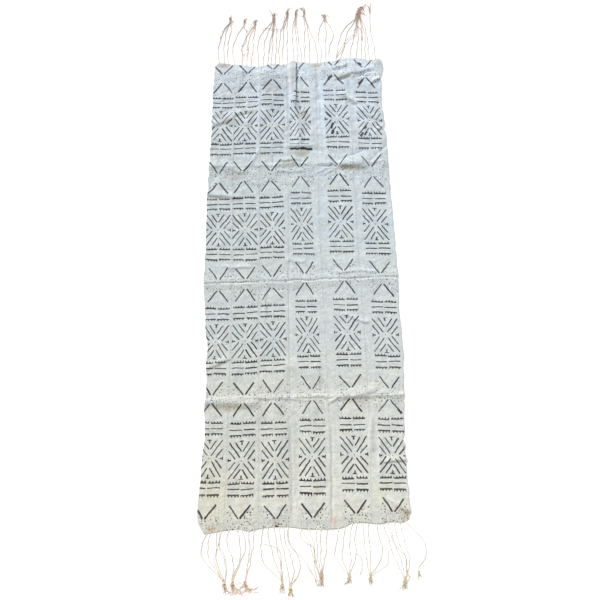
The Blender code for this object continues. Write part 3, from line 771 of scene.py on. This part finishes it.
def make_strip(strip, material):
    """One woven strip as a thin sheet on the folds of its solid."""
    middles = middles_of_rows()
    x, z, across = strip_lines(strip, middles)
    rows, columns = x.shape
    y = line_y(middles[:, None], x)
    lift = relief(x, y)

    # The sheet is thinner and rounded at its woven edges, and a little roped just inside them
    wide = across[:, -1:]
    from_side = np.minimum(across, wide - across)
    body = np.sqrt(np.clip(from_side / 0.0008, 0.68, 1.0))
    body = body + 0.12 * np.exp(-(((from_side - 0.0022) / 0.0012) ** 2))
    body = body * (0.55 + 0.45 * smooth(from_ends(x, y) / 0.006))
    half = CLOTH_THICK / 2 * body
    phase = 9.0 * noise(x, y, 0.03, 0.03, 0, 5)
    pucker = 0.00025 * np.exp(-from_side / 0.006) * np.sin(2 * math.pi * y / 0.011 + phase)

    dx, dz = np.gradient(x, axis=1), np.gradient(z, axis=1)
    long = np.hypot(dx, dz)
    nx, nz = -dz / long, dx / long
    middle_z = z + lift + half + np.maximum(pucker, -LOWEST)
    upper = np.stack([x + nx * half, y, middle_z + nz * half], axis=-1)
    under = np.stack([x - nx * half, y, middle_z - nz * half], axis=-1)
    corners = np.concatenate([upper.reshape(-1, 3), under.reshape(-1, 3)])
    corners[:, 2] = np.maximum(corners[:, 2], LOWEST)

    faces = grid_faces(rows, columns)
    obj = new_object(f"strip_{strip}_cloth", corners.tolist(), faces.tolist(), material)
    layer = obj.data.uv_layers.new(name="OFBake")
    layer.data.foreach_set("uv", unfolded(faces, rows, columns, across).astype(np.float32).ravel())

    right, place = paint_places(strip, x, y, across)
    paint = np.stack([right, place, np.full_like(right, strip)], axis=-1).reshape(-1, 3)
    set_values(obj.data, "paint", "FLOAT_VECTOR", "vector", np.concatenate([paint, paint]))
    size = rows * columns
    set_values(obj.data, "face_side", "FLOAT", "value", np.repeat([1.0, 0.0], size))
    return obj


class Gathered:
    """The corners, faces and tones, with painted groove shade, of one piece of yarn from many tubes."""

    def __init__(self):
        self.corners = []
        self.faces = []
        self.tones_with_groove_shade = []
        self.count = 0

    def tube(self, path, radius, sides=8, twist=YARN_TWIST, lobe=0.0, tone=0.0):
        """Adds a closed tube along a path; with lobes it shows two twisted plies and painted shade
        between them.
        """
        path = np.asarray(path, dtype=float)
        along = np.gradient(path, axis=0)
        along /= np.linalg.norm(along, axis=1)[:, None]
        side = np.cross(along, (0.0, 0.0, 1.0))
        side /= np.linalg.norm(side, axis=1)[:, None]
        up = np.cross(side, along)
        spot = 2 * math.pi * np.arange(sides) / sides
        angle = (2 * math.pi * run_of(path) / twist)[:, None] + spot
        reach = np.broadcast_to(radius, len(path))[:, None] * (1.0 + lobe * np.cos(2 * spot))
        offset = np.cos(angle)[..., None] * side[:, None] + np.sin(angle)[..., None] * up[:, None]
        corners = path[:, None] + reach[..., None] * offset
        corners[..., 2] = np.maximum(corners[..., 2], LOWEST)
        index = self.count + np.arange(len(path) * sides).reshape(len(path), sides)
        turned = np.roll(index, -1, axis=1)
        quads = np.stack([index[:-1], index[1:], turned[1:], turned[:-1]], axis=-1).reshape(-1, 4)
        self.corners += corners.reshape(-1, 3).tolist()
        self.faces += quads.tolist()
        self.faces += [index[0].tolist(), index[-1][::-1].tolist()]
        # The tone drops in the grooves between the plies: painted shade there
        self.tones_with_groove_shade += [tone + 0.5 * lobe * math.cos(2 * s) for s in spot] * len(path)
        self.count += corners.shape[0] * sides

    def make(self, name, material):
        obj = new_object(name, self.corners, self.faces, material)
        set_values(obj.data, "tone", "FLOAT", "value", self.tones_with_groove_shade)
        return obj


def make_stitches(seam, material):
    """Overcast stitches that join two strips, slanting over their touching edges."""
    made = Gathered()
    rng = np.random.default_rng(100 + seam)
    middles = np.arange(curve(BOTTOM_END, 0.0) + 0.004, curve(TOP_END, 0.0) - 0.003, STITCH_PITCH)
    middles = middles + rng.uniform(-0.0012, 0.0012, len(middles))
    x = side_on(seam, middles)
    y = line_y(middles, x)
    reach = rng.uniform(0.0017, 0.0027, len(middles))
    slant = rng.uniform(0.0008, 0.0026, len(middles))
    steps = np.array([-1.0, -0.75, -0.3, 0.3, 0.75, 1.0])
    heights = np.array([-0.0002, 0.0003, 0.0005, 0.0005, 0.0003, -0.0002])
    xs = x[:, None] + reach[:, None] * steps
    ys = y[:, None] + slant[:, None] * steps
    zs = relief(xs, ys) + CLOTH_THICK + heights
    for path in np.stack([xs, ys, zs], axis=-1):
        made.tube(path, STITCH_RADIUS, sides=5, tone=rng.uniform(-0.2, 0.2))
    return made.make(f"seam_{seam}_stitches", material)


def strand_path(root, knot, lane, bow, sway, rng):
    """Middle line of a strand from inside the cloth's end to the middle of its knot."""
    x0, y0, base = root
    knot_x, knot_y = knot[:2]
    way = 1.0 if knot_y > y0 else -1.0
    x1, y1 = knot_x + lane * LANE_PITCH, knot_y - way * KNOT_LONG
    t = np.linspace(0.0, 1.0, max(int(abs(y1 - y0) / YARN_STEP), 12))
    x = x0 + (x1 - x0) * smooth(t) + bow * np.sin(math.pi * t) + sway * np.sin(2 * math.pi * t)
    turns = rng.uniform(3.0, 6.0)
    x += 0.0008 * np.sin(math.pi * t) ** 0.5 * np.sin(2 * math.pi * turns * t + rng.uniform(0.0, 6.0))
    x += 0.0016 * np.sin(math.pi * t) * np.sin(2 * math.pi * 0.45 * turns * t + rng.uniform(0.0, 6.0))
    y = y0 + (y1 - y0) * t
    z = (base + THICK / 2) * (1.0 - smooth(5 * t)) + YARN_RADIUS * smooth(5 * t)
    s = np.linspace(0.0, 1.0, 8)[1:]
    in_x = x1 + (knot_x + 0.4 * lane * LANE_PITCH - x1) * smooth(s)
    in_y = y1 + (knot_y - way * 0.1 * KNOT_LONG - y1) * s
    in_z = YARN_RADIUS + (knot[3] / 2 - YARN_RADIUS) * smooth(s)
    first = np.array([[x0, y0 - way * ROOT_INSIDE, base + THICK / 2]])
    way_over = np.stack([x, y, z], axis=-1)
    way_in = np.stack([in_x, in_y, in_z], axis=-1)
    return np.concatenate([first, way_over, way_in])


def add_overhand(made, x, y, wide, high, rng):
    """The thick cord of an overhand knot."""
    thick = 0.19 * min(wide, 0.012)
    t = np.linspace(0.0, 2 * math.pi, 49)[:-1]
    turn = rng.uniform(0.0, 6.0)
    a = (np.sin(t) + 2 * np.sin(2 * t)) / 2.6
    b = (np.cos(t) - 2 * np.cos(2 * t)) / 2.6
    px = (a * math.cos(turn) - b * math.sin(turn)) * (wide / 2 - thick)
    py = (a * math.sin(turn) + b * math.cos(turn)) * (0.36 * KNOT_LONG)
    pz = thick + (high / 2 - thick) * (1.0 - np.sin(3 * t))
    path = np.stack([x + px, y + py, np.maximum(pz, thick)], axis=-1)
    path = np.concatenate([path, path[:2]])
    # The high tone darkens and browns the cord: partly its own colour, partly painted shade of the knot
    made.tube(path, thick, twist=YARN_TWIST_THICK, lobe=PLY_LOBE, tone=0.8)


def add_loops(made, x, y, wide, high, way, count, rng):
    """Thin loops that stand out of a knot."""
    for _ in range(count):
        t = np.linspace(0.0, rng.uniform(4.0, 6.0), 26) + rng.uniform(0.0, 6.0)
        slim = rng.uniform(0.12, 0.32) * wide
        long = rng.uniform(0.6, 1.1) * wide
        turn = rng.uniform(-0.6, 0.6)
        a, b = slim * np.cos(t), long * np.sin(t + rng.uniform(-0.5, 0.5))
        path = np.stack([
            x + rng.uniform(-0.25, 0.25) * wide + a * math.cos(turn) - b * math.sin(turn),
            y + way * rng.uniform(-0.6, 0.9) * wide + a * math.sin(turn) + b * math.cos(turn),
            0.0009 + 0.45 * high * (1.0 + np.sin(1.5 * t)),
        ], axis=-1)
        made.tube(path, rng.uniform(0.0006, 0.0009), sides=6, lobe=0.1, tone=rng.uniform(0.1, 0.7))


def add_tail(made, knot, way, count, rng):
    """The frayed tail of a knot."""
    x, y, wide, high, tail, reach = knot
    for _ in range(count):
        long = tail * rng.uniform(0.45, 1.15)
        spread = rng.normal(0.0, 0.38) * long
        s = np.linspace(0.0, 1.0, 11)
        curl = rng.uniform(-0.0025, 0.0025)
        tx = x + reach * s * long / tail + spread * s**1.4 + curl * np.sin(math.pi * 1.5 * s)
        tx += (1 - s) * rng.uniform(-0.3, 0.3) * wide
        ty = y + way * (0.2 * KNOT_LONG + (long - 0.2 * KNOT_LONG) * s)
        radius = rng.uniform(0.00042, 0.00075)
        lift = rng.uniform(0.0, 0.0012)
        tz = radius + (high / 2 - radius) * (1 - smooth(2.2 * s)) + lift * np.sin(math.pi * s)
        path = np.stack([tx, ty, tz], axis=-1)
        made.tube(path, radius * (1.0 - 0.35 * s), sides=5, tone=rng.uniform(0.0, 0.5))


def add_knot(made, knot, way, strands, rng):
    """A tight overhand knot with its loops and its frayed tail."""
    x, y, wide, high = knot[:4]
    add_overhand(made, x, y, wide, high, rng)
    add_loops(made, x, y, wide, high, way, 1 + strands // 2, rng)
    add_tail(made, knot, way, 6 + 2 * strands, rng)


def add_loose(made, radius, tone, points):
    """A loose yarn through given points, lying over the strands."""
    rows = [(number, *point) for number, point in enumerate(points)]
    last = len(points) - 1.0
    t = np.linspace(0.0, last, 12 * len(points))
    z = radius + 0.0024 * smooth(np.minimum(t, last - t) / 0.7)
    path = np.stack([curve(rows, t), curve(rows, t, 2), z], axis=-1)
    made.tube(path, radius, lobe=PLY_LOBE, tone=tone)


def add_short_ends(made, strip, end_line, way, rng):
    """Cut warp ends that stick out between the strands."""
    middle = curve(end_line, 0.0)
    left, right = side_on(strip - 1, middle), side_on(strip, middle)
    for x in np.arange(left + 0.002, right - 0.002, SHORT_END_PITCH):
        x = x + rng.uniform(-0.001, 0.001)
        y = curve(end_line, x)
        long = rng.uniform(0.002, 0.0075)
        lean = rng.uniform(-0.5, 0.5) * long
        s = np.linspace(0.0, 1.0, 4)
        path = np.stack([
            x + lean * s**1.5,
            y + way * (-0.002 + (long + 0.002) * s),
            0.0004 + 0.0004 * (1 - s),
        ], axis=-1)
        made.tube(path, 0.0003, sides=4, tone=rng.uniform(-0.2, 0.3))


def make_fringe(strip, end_line, strands, knots, loose, way, piece_name, material):
    """The strands, knots and short ends at one end of a strip."""
    made = Gathered()
    rng = np.random.default_rng(1000 + 10 * strip + int(way))
    left = side_on(strip - 1, curve(end_line, 0.0))
    for _, root_x, name, lane, *bends in (row for row in strands if row[0] == strip):
        x, bow, sway = metres((root_x, *bends))
        knot = metres(knots[name])
        y = float(curve(end_line, x))
        on_pleat = left + PLEAT_START + PLEAT_RISE < x < PLEAT_EDGE
        base = 4 * PLEAT_BEND if strip == PLEAT_STRIP and way > 0 and on_pleat else 0.0
        path = strand_path((x, y, base), knot, lane, bow, sway, rng)
        made.tube(path, YARN_RADIUS, lobe=PLY_LOBE, tone=rng.uniform(-0.3, 0.3))
        if lane == 0:
            count = sum(row[2] == name for row in strands)
            add_knot(made, knot, way, count, rng)
    for _, radius, tone, *points in (row for row in loose if row[0] == strip):
        add_loose(made, metres(radius), tone, metres(points))
    add_short_ends(made, strip, end_line, way, rng)
    return made.make(piece_name, material)


def opaque(color):
    """A colour with its alpha; a socket stays as it is."""
    return (*color, 1.0) if isinstance(color, tuple) else color


class Sketch:
    """Adds nodes to one material and gives back their outputs."""

    def __init__(self, name):
        self.material = bpy.data.materials.new(name)
        self.material.use_nodes = True
        self.tree = self.material.node_tree
        self.shader = self.tree.nodes["Principled BSDF"]

    def put(self, kind, inputs, output=0, **settings):
        node = self.tree.nodes.new(kind)
        for setting, value in settings.items():
            setattr(node, setting, value)
        for socket, value in inputs.items():
            self.feed(node.inputs[socket], value)
        return node.outputs[output]

    def feed(self, socket, value):
        if isinstance(value, bpy.types.NodeSocket):
            self.tree.links.new(value, socket)
        else:
            socket.default_value = value

    def math(self, operation, *values, clamp=False):
        inputs = dict(enumerate(values))
        return self.put("ShaderNodeMath", inputs, operation=operation, use_clamp=clamp)

    def times(self, one, two):
        return self.math("MULTIPLY", one, two)

    def scaled(self, value, by, plus):
        return self.math("MULTIPLY_ADD", value, by, plus)

    def apart(self, one, two):
        return self.math("ABSOLUTE", self.math("SUBTRACT", one, two))

    def vector(self, operation, *values, output=0):
        inputs = dict(enumerate(values))
        return self.put("ShaderNodeVectorMath", inputs, output, operation=operation)

    def join(self, x, y, z=0.0):
        return self.put("ShaderNodeCombineXYZ", {0: x, 1: y, 2: z})

    def parts(self, value):
        return self.put("ShaderNodeSeparateXYZ", {0: value}).node.outputs

    def stored(self, name, output):
        """Values stored on the mesh, as a vector (output 1) or a number (output 2)."""
        return self.put("ShaderNodeAttribute", {}, output, attribute_name=name)

    def ground(self):
        """The place on the object, in metres."""
        return self.put("ShaderNodeTexCoord", {}, 3)

    def step(self, value, low, high):
        """0 at low and 1 at high, smooth between them."""
        inputs = {"Value": value, "From Min": low, "From Max": high}
        return self.put("ShaderNodeMapRange", inputs, interpolation_type="SMOOTHSTEP")

    def mix(self, share, one, two, blend="MIX"):
        inputs = {0: share, 6: opaque(one), 7: opaque(two)}
        return self.put("ShaderNodeMix", inputs, 2, data_type="RGBA", blend_type=blend)

    def tint(self, share, one, two):
        """The first colour multiplied by the second, by that share."""
        return self.mix(share, one, two, "MULTIPLY")

    def noise(self, place, scale, detail=2.0, rough=0.5, output=0):
        inputs = {"Vector": place, "Scale": scale, "Detail": detail, "Roughness": rough}
        return self.put("ShaderNodeTexNoise", inputs, output)

    def shake(self, place, scale, detail, reach):
        """An uneven offset in x and y, of up to half of reach each way."""
        noise = self.noise(place, scale, detail, output=1)
        return self.vector("MULTIPLY_ADD", noise, (reach, reach, 0.0), (-reach / 2, -reach / 2, 0.0))

    def chance(self, cell, number, output=0):
        """Random value (output 0) or colour (output 1) for a cell and a number."""
        inputs = {"Vector": cell, "W": number}
        return self.put("ShaderNodeTexWhiteNoise", inputs, output, noise_dimensions="4D")

    def matt(self, color, rough, normal, sheen, spread):
        """Feeds the shader with a matt look and gives back the material."""
        self.feed(self.shader.inputs["Base Color"], color)
        self.feed(self.shader.inputs["Roughness"], rough)
        self.feed(self.shader.inputs["Normal"], normal)
        self.shader.inputs["Sheen Weight"].default_value = sheen
        self.shader.inputs["Sheen Roughness"].default_value = spread
        self.shader.inputs["Specular IOR Level"].default_value = 0.2
        return self.material


def away_from(s, place, start, end):
    """Distance of a place from the straight line between two others."""
    line = s.vector("SUBTRACT", end, start)
    to_place = s.vector("SUBTRACT", place, start)
    dot = s.vector("DOT_PRODUCT", to_place, line, output=1)
    square = s.vector("DOT_PRODUCT", line, line, output=1)
    share = s.math("DIVIDE", dot, square, clamp=True)
    nearest = s.put("ShaderNodeVectorMath", {0: line, 3: share}, operation="SCALE")
    return s.vector("DISTANCE", to_place, nearest, output=1)


def wandered(s, cell, number, x, y, wander):
    """One end of a stroke, moved at random by up to half of wander each way."""
    least = (x - wander / 2, y - wander / 2, 0.0)
    return s.vector("MULTIPLY_ADD", s.chance(cell, number, 1), (wander, wander, 0.0), least)


def stroke(s, place, cell, number, row, uneven):
    """How far a place in the pattern is outside a hand-painted stroke, in mm."""
    x0, y0, x1, y1, half, wander = row
    start = wandered(s, cell, number, x0, y0, wander)
    end = wandered(s, cell, number + 0.5, x1, y1, min(wander, APEX_WANDER))
    away = away_from(s, place, start, end)
    weight = s.scaled(s.chance(cell, number + 0.25), 0.42, 0.78)
    return s.math("SUBTRACT", away, s.times(s.times(weight, half), uneven))


def toothed_line(s, a, b, cell, number, row, uneven):
    """How far a place is outside one half of a painted row, whose teeth stand on one side, in mm."""
    far, half, tall, side = row
    slope = s.scaled(s.chance(cell, number), 0.08, -0.04)
    level = s.scaled(s.chance(cell, number + 0.3), 2.4, far - 1.2)
    level = s.scaled(s.math("SUBTRACT", a, 20.0), slope, level)
    off = s.math("SUBTRACT", b, level)
    thick = s.times(s.scaled(s.chance(cell, number + 0.6), 0.45, 0.72), half)
    thick = s.times(thick, uneven)
    if tall:
        phase = s.times(s.chance(cell, number + 0.7), 6.3)
        wave = s.math("COSINE", s.scaled(a, 2 * math.pi / TOOTH_PITCH, phase))
        tooth = s.math("POWER", s.scaled(wave, 0.5, 0.5), 2.0)
        tooth = s.times(s.times(tooth, 0.5 * tall), uneven)
        off = s.scaled(tooth, -side, off)
        thick = s.math("ADD", thick, tooth)
    reach = s.scaled(s.chance(cell, number + 0.9), 2.8, LINE_HALF)
    aside = s.math("SUBTRACT", s.apart(a, LINE_MIDDLE), reach)
    return s.math("MAXIMUM", s.math("SUBTRACT", s.math("ABSOLUTE", off), thick), aside)


def brushed(s, p, q, along, strip, spot):
    """Ink of the strokes and rows, with the place in a quarter of a repeat and that quarter's cell."""
    tile = s.math("FLOOR", s.scaled(q, 1.0 / REPEAT, 0.5))
    t = s.scaled(tile, -REPEAT, q)
    a = s.math("ABSOLUTE", p)
    b = s.apart(t, STROKES_UP)
    row_b = s.apart(t, LINES_UP)
    place = s.join(a, b)
    cell = s.join(s.math("SIGN", p), s.math("SIGN", t), s.scaled(strip, 17.0, tile))
    bold = s.scaled(s.step(along, *BOLDER), 0.14, 1.0)
    uneven = s.times(s.scaled(s.noise(spot, 0.11, 1.0), 0.7, 0.65), bold)

    field = 99.0
    for number, row in enumerate(STROKES):
        field = s.math("MINIMUM", field, stroke(s, place, cell, 3.0 * number, row, uneven))
    for number, row in enumerate(LINES):
        one = toothed_line(s, a, row_b, cell, 50.0 + 3.0 * number, row, uneven)
        field = s.math("MINIMUM", field, one)
    return s.step(field, 0.55, -0.45), a, b, cell


def dabbed(s, ground, p, a, b, along):
    """Ink of the small dots outside the angles, between one repeat and the next."""
    noise = s.noise(ground, 260.0, 1.0, output=1)
    shaky = s.vector("MULTIPLY_ADD", noise, (0.0034, 0.0034, 0.0), ground)
    inputs = {"Vector": shaky, "Scale": 1000.0 / DOT_PITCH, "Randomness": 0.95}
    dots = s.put("ShaderNodeTexVoronoi", inputs, voronoi_dimensions="2D")
    random = s.parts(dots.node.outputs[1])
    at_end = s.step(along, *DOTS_BOLDER)
    size = s.scaled(random[0], 0.18, s.scaled(at_end, -0.005, 0.11))
    dot = s.step(s.math("SUBTRACT", dots, size), 0.07, -0.06)

    outside = s.math("ADD", s.scaled(b, ANGLE_LEAN, -ANGLE_LEAN * ANGLE_APEX - ANGLE_CLEAR), a)
    dot = s.times(dot, s.step(outside, -1.5, 3.0))
    dot = s.times(dot, s.step(b, *DOTS_FROM))
    aside = s.scaled(at_end, 9.0, s.apart(p, 3.0))
    dot = s.times(dot, s.step(aside, *DOTS_OUT_TO))
    strength = s.scaled(s.math("POWER", random[1], 1.3), 0.66, 0.18)
    strength = s.times(strength, s.scaled(at_end, 0.45, 1.00))
    return s.times(dot, s.math("MINIMUM", strength, 0.95))


def blotted(s, ground, ink):
    """Ink with the places where the paint ran or was laid on twice."""
    ragged = s.vector("ADD", ground, s.shake(ground, 150.0, 2.0, 0.008))
    flat = s.vector("MULTIPLY", ragged, (1.0, 1.0, 0.0))
    for x0, y0, x1, y1, half in BLOTS:
        away = away_from(s, flat, (x0, y0, 0.0), (x1, y1, 0.0))
        ink = s.math("MAXIMUM", ink, s.step(away, half + 0.0005, half - 0.0005))
    return ink


def painted(s, along, strip, read, spot):
    """How much ink lies on the cloth, from 0 to 1."""
    # The hand wanders, so the whole pattern is a little out of true
    hand = s.vector("ADD", read, s.shake(spot, 0.035, 1.0, 5.0))
    hand = s.vector("ADD", hand, s.shake(spot, 0.35, 2.0, 1.2))
    p, q, _ = s.parts(hand)
    ink, a, b, cell = brushed(s, p, q, along, strip, spot)
    ground = s.ground()
    ink = blotted(s, ground, ink)

    # Thin or rubbed paint
    firm = s.scaled(s.step(s.noise(spot, 0.5, 3.0, 0.7), 0.28, 0.50), 0.14, 0.86)
    ink = s.times(s.times(ink, firm), s.scaled(s.chance(cell, 90.0), 0.10, 0.90))
    return s.math("MAXIMUM", ink, dabbed(s, ground, p, a, b, along))


def washed(s, along, across, spot):
    """Cotton that is bluer at the far end, warmer at the near end and on the left, and cloudy."""
    base = NEAR_WASH
    for low, high, color in WASH:
        base = s.mix(s.step(along, low, high), base, color)
    base = s.tint(s.step(across, 0.20, -0.25), base, (0.975, 0.965, 0.945))
    cloud = s.noise(spot, 0.018, 2.0, 0.6)
    base = s.tint(s.step(cloud, 0.35, 0.70), base, (0.93, 0.96, 1.0))
    bloom = s.noise(s.vector("ADD", spot, (300.0, 90.0, 7.0)), 0.030, 3.0, 0.65)
    base = s.tint(s.step(bloom, 0.50, 0.80), base, (1.0, 0.955, 0.90))
    fleck = s.noise(s.vector("ADD", spot, (50.0, 20.0, 3.0)), 0.11, 3.0, 0.7)
    base = s.tint(s.step(fleck, 0.56, 0.36), base, (0.88, 0.89, 0.90))
    worn = s.noise(s.vector("ADD", spot, (90.0, 60.0, 9.0)), 0.13, 2.0, 0.6)
    return s.mix(s.times(s.step(worn, 0.50, 0.72), 0.50), base, (0.860, 0.900, 0.925))


def with_stains_and_painted_light(s, ground, base):
    """The wash with its stains, painted shade and painted highlights."""
    moved = s.vector("ADD", ground, s.shake(ground, 70.0, 2.0, 0.02))
    for *sizes, color in STAINS_AND_PAINTED_LIGHT:
        x, y, wide, long = metres(sizes)
        off = s.vector("SUBTRACT", moved, (x, y, 0.0))
        off = s.vector("MULTIPLY", off, (1.0 / wide, 1.0 / long, 0.0))
        base = s.tint(s.step(s.vector("LENGTH", off, output=1), 1.25, 0.35), base, color)
    return base


def woven(s, spot):
    """Height of the plain weave, from 0 to 1."""
    noise = s.noise(spot, 0.6, 1.0, output=1)
    x, y, _ = s.parts(s.vector("MULTIPLY_ADD", noise, (0.9, 0.9, 0.0), spot))
    warp = s.math("COSINE", s.times(x, math.pi / WARP_PITCH))
    weft = s.math("COSINE", s.times(y, math.pi / WEFT_PITCH))
    return s.scaled(s.times(warp, weft), 0.5, 0.5)


def cotton():
    """Hand-woven cotton, washed grey-white, with black painted marks."""
    s = Sketch("cotton_cloth")
    read = s.stored("paint", 1)
    _, along, strip = s.parts(read)
    spot = s.vector("MULTIPLY", read, (1.0, 1.0, 400.0))
    ground = s.ground()
    base = washed(s, along, s.parts(ground)[0], spot)

    # Thick and thin weft under the stains and painted light, then painted shade in the weave's hollows
    slub = s.noise(s.vector("MULTIPLY", spot, (0.05, 1.0, 1.0)), 0.45, 3.0, 0.6)
    base = s.tint(s.step(slub, 0.62, 0.30), base, (0.90, 0.91, 0.90))
    base = with_stains_and_painted_light(s, ground, base)
    weave = woven(s, spot)
    # Painted shade in the hollows between the threads
    base = s.tint(s.step(weave, 0.45, 0.0), base, (0.86, 0.87, 0.88))

    # The ink shows through weakly on the underside
    shown = s.times(painted(s, along, strip, read, spot), s.scaled(s.stored("face_side", 2), 0.72, 0.28))
    color = s.mix(shown, base, INK)
    height = s.scaled(slub, 0.8, s.times(weave, 0.5))
    bump = s.put("ShaderNodeBump", {"Height": height, "Distance": 0.0005, "Strength": 0.55})
    pucker = s.noise(ground, 170.0, 3.0, 0.6)
    inputs = {"Height": pucker, "Distance": 0.0016, "Strength": 0.6, "Normal": bump}
    normal = s.put("ShaderNodeBump", inputs)
    return s.matt(color, s.scaled(weave, -0.10, 0.95), normal, 0.12, 0.6)


def yarn(name, light, dark):
    """Spun cotton yarn: painted shade in the grooves between its plies and on its knots, fibres and
    dust.
    """
    s = Sketch(name)
    tone = s.stored("tone", 2)
    place = s.ground()
    cloud = s.noise(place, 45.0, 2.0, 0.6)
    fibre = s.noise(place, 1400.0, 2.0, 0.7)
    color = s.mix(s.step(cloud, 0.35, 0.70), light, dark)
    along = s.parts(place)[1]
    for low, high, shade in YARN_SHADES:
        color = s.tint(s.step(along, low, high), color, shade)
    for *sizes, tinge in TINGES:
        x, y, reach = metres(sizes)
        off = s.vector("SUBTRACT", place, (x, y, 0.0))
        off = s.vector("MULTIPLY", off, (1.0, 1.0, 0.0))
        share = s.step(s.vector("LENGTH", off, output=1), 1.3 * reach, 0.4 * reach)
        color = s.tint(share, color, tinge)
    spots = s.noise(place, 75.0, 2.0, 0.6)
    color = s.tint(s.step(spots, 0.60, 0.70), color, (0.66, 0.60, 0.56))
    # High tones are darker and browner: own colour, and on the knots partly painted shade
    color = s.tint(s.step(tone, 0.15, 1.0), color, (0.80, 0.74, 0.66))
    # Low tones are a little darker: random tone, and painted shade in the grooves between the plies
    color = s.tint(s.step(tone, -0.02, -0.12), color, (0.95, 0.93, 0.91))
    color = s.tint(s.step(fibre, 0.62, 0.35), color, (0.88, 0.87, 0.85))
    bump = s.put("ShaderNodeBump", {"Height": fibre, "Distance": 0.0003, "Strength": 0.6})
    return s.matt(color, s.scaled(fibre, 0.12, 0.84), bump, 0.15, 0.5)


def make_floor():
    s = Sketch("pale_floor")
    s.shader.inputs["Base Color"].default_value = (0.93, 0.93, 0.93, 1.0)
    s.shader.inputs["Roughness"].default_value = 0.9
    s.shader.inputs["Specular IOR Level"].default_value = 0.1
    s.shader.inputs["Emission Color"].default_value = (1.0, 1.0, 1.0, 1.0)
    s.shader.inputs["Emission Strength"].default_value = 0.20
    sides = ((-1, -1), (1, -1), (1, 1), (-1, 1))
    corners = [(x * FLOOR_REACH, y * FLOOR_REACH, -FLOOR_DEPTH) for x, y in sides]
    new_object("floor", corners, [(0, 1, 2, 3)], s.material)


def add_camera(scene):
    data = bpy.data.cameras.new("camera")
    data.sensor_width = 36.0
    data.lens = CAMERA_LENS
    data.clip_end = 50.0
    camera = bpy.data.objects.new("camera", data)
    camera.location = CAMERA_PLACE
    camera.rotation_euler = (math.radians(CAMERA_TILT), 0.0, 0.0)
    scene.collection.objects.link(camera)
    scene.camera = camera


def add_light(scene):
    world = bpy.data.worlds.new("studio")
    world.use_nodes = True
    background = world.node_tree.nodes["Background"]
    background.inputs["Color"].default_value = (1.0, 1.0, 1.0, 1.0)
    background.inputs["Strength"].default_value = 0.50
    scene.world = world
    scene.view_settings.view_transform = "Standard"
    sun = bpy.data.lights.new("soft_sun", "SUN")
    sun.energy = 3.4
    sun.angle = math.radians(SUN_SPREAD)
    light = bpy.data.objects.new("soft_sun", sun)
    light.rotation_mode = "QUATERNION"
    light.rotation_quaternion = Vector(SUN_PLACE).to_track_quat("Z", "Y")
    scene.collection.objects.link(light)


add_camera(bpy.context.scene)
add_light(bpy.context.scene)
make_floor()

cloth_look = cotton()
yarn_look = yarn("fringe_yarn", (0.950, 0.912, 0.815), (0.900, 0.850, 0.750))
thread_look = yarn("seam_thread", (0.860, 0.880, 0.880), (0.800, 0.820, 0.820))

strips, fringes = [], []
for number in range(1, 7):
    strips.append(make_strip(number, cloth_look))
    ends = []
    for side, end_line, strands, knots, loose, way in (
        ("top", TOP_END, TOP_STRANDS, TOP_KNOTS, TOP_LOOSE, 1.0),
        ("bottom", BOTTOM_END, BOTTOM_STRANDS, BOTTOM_KNOTS, BOTTOM_LOOSE, -1.0),
    ):
        name = f"fringe_{side}_{number}"
        piece = make_fringe(number, end_line, strands, knots, loose, way, f"{name}_yarn", yarn_look)
        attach(piece, "root")
        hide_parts(name)
        ends.append(piece)
    fringes.append(ends)

for number in range(1, 6):
    piece = make_stitches(number, thread_look)
    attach(piece, "root")

for number, piece in enumerate(strips):
    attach(piece, "root")
    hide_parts(f"strip_{number + 1}")
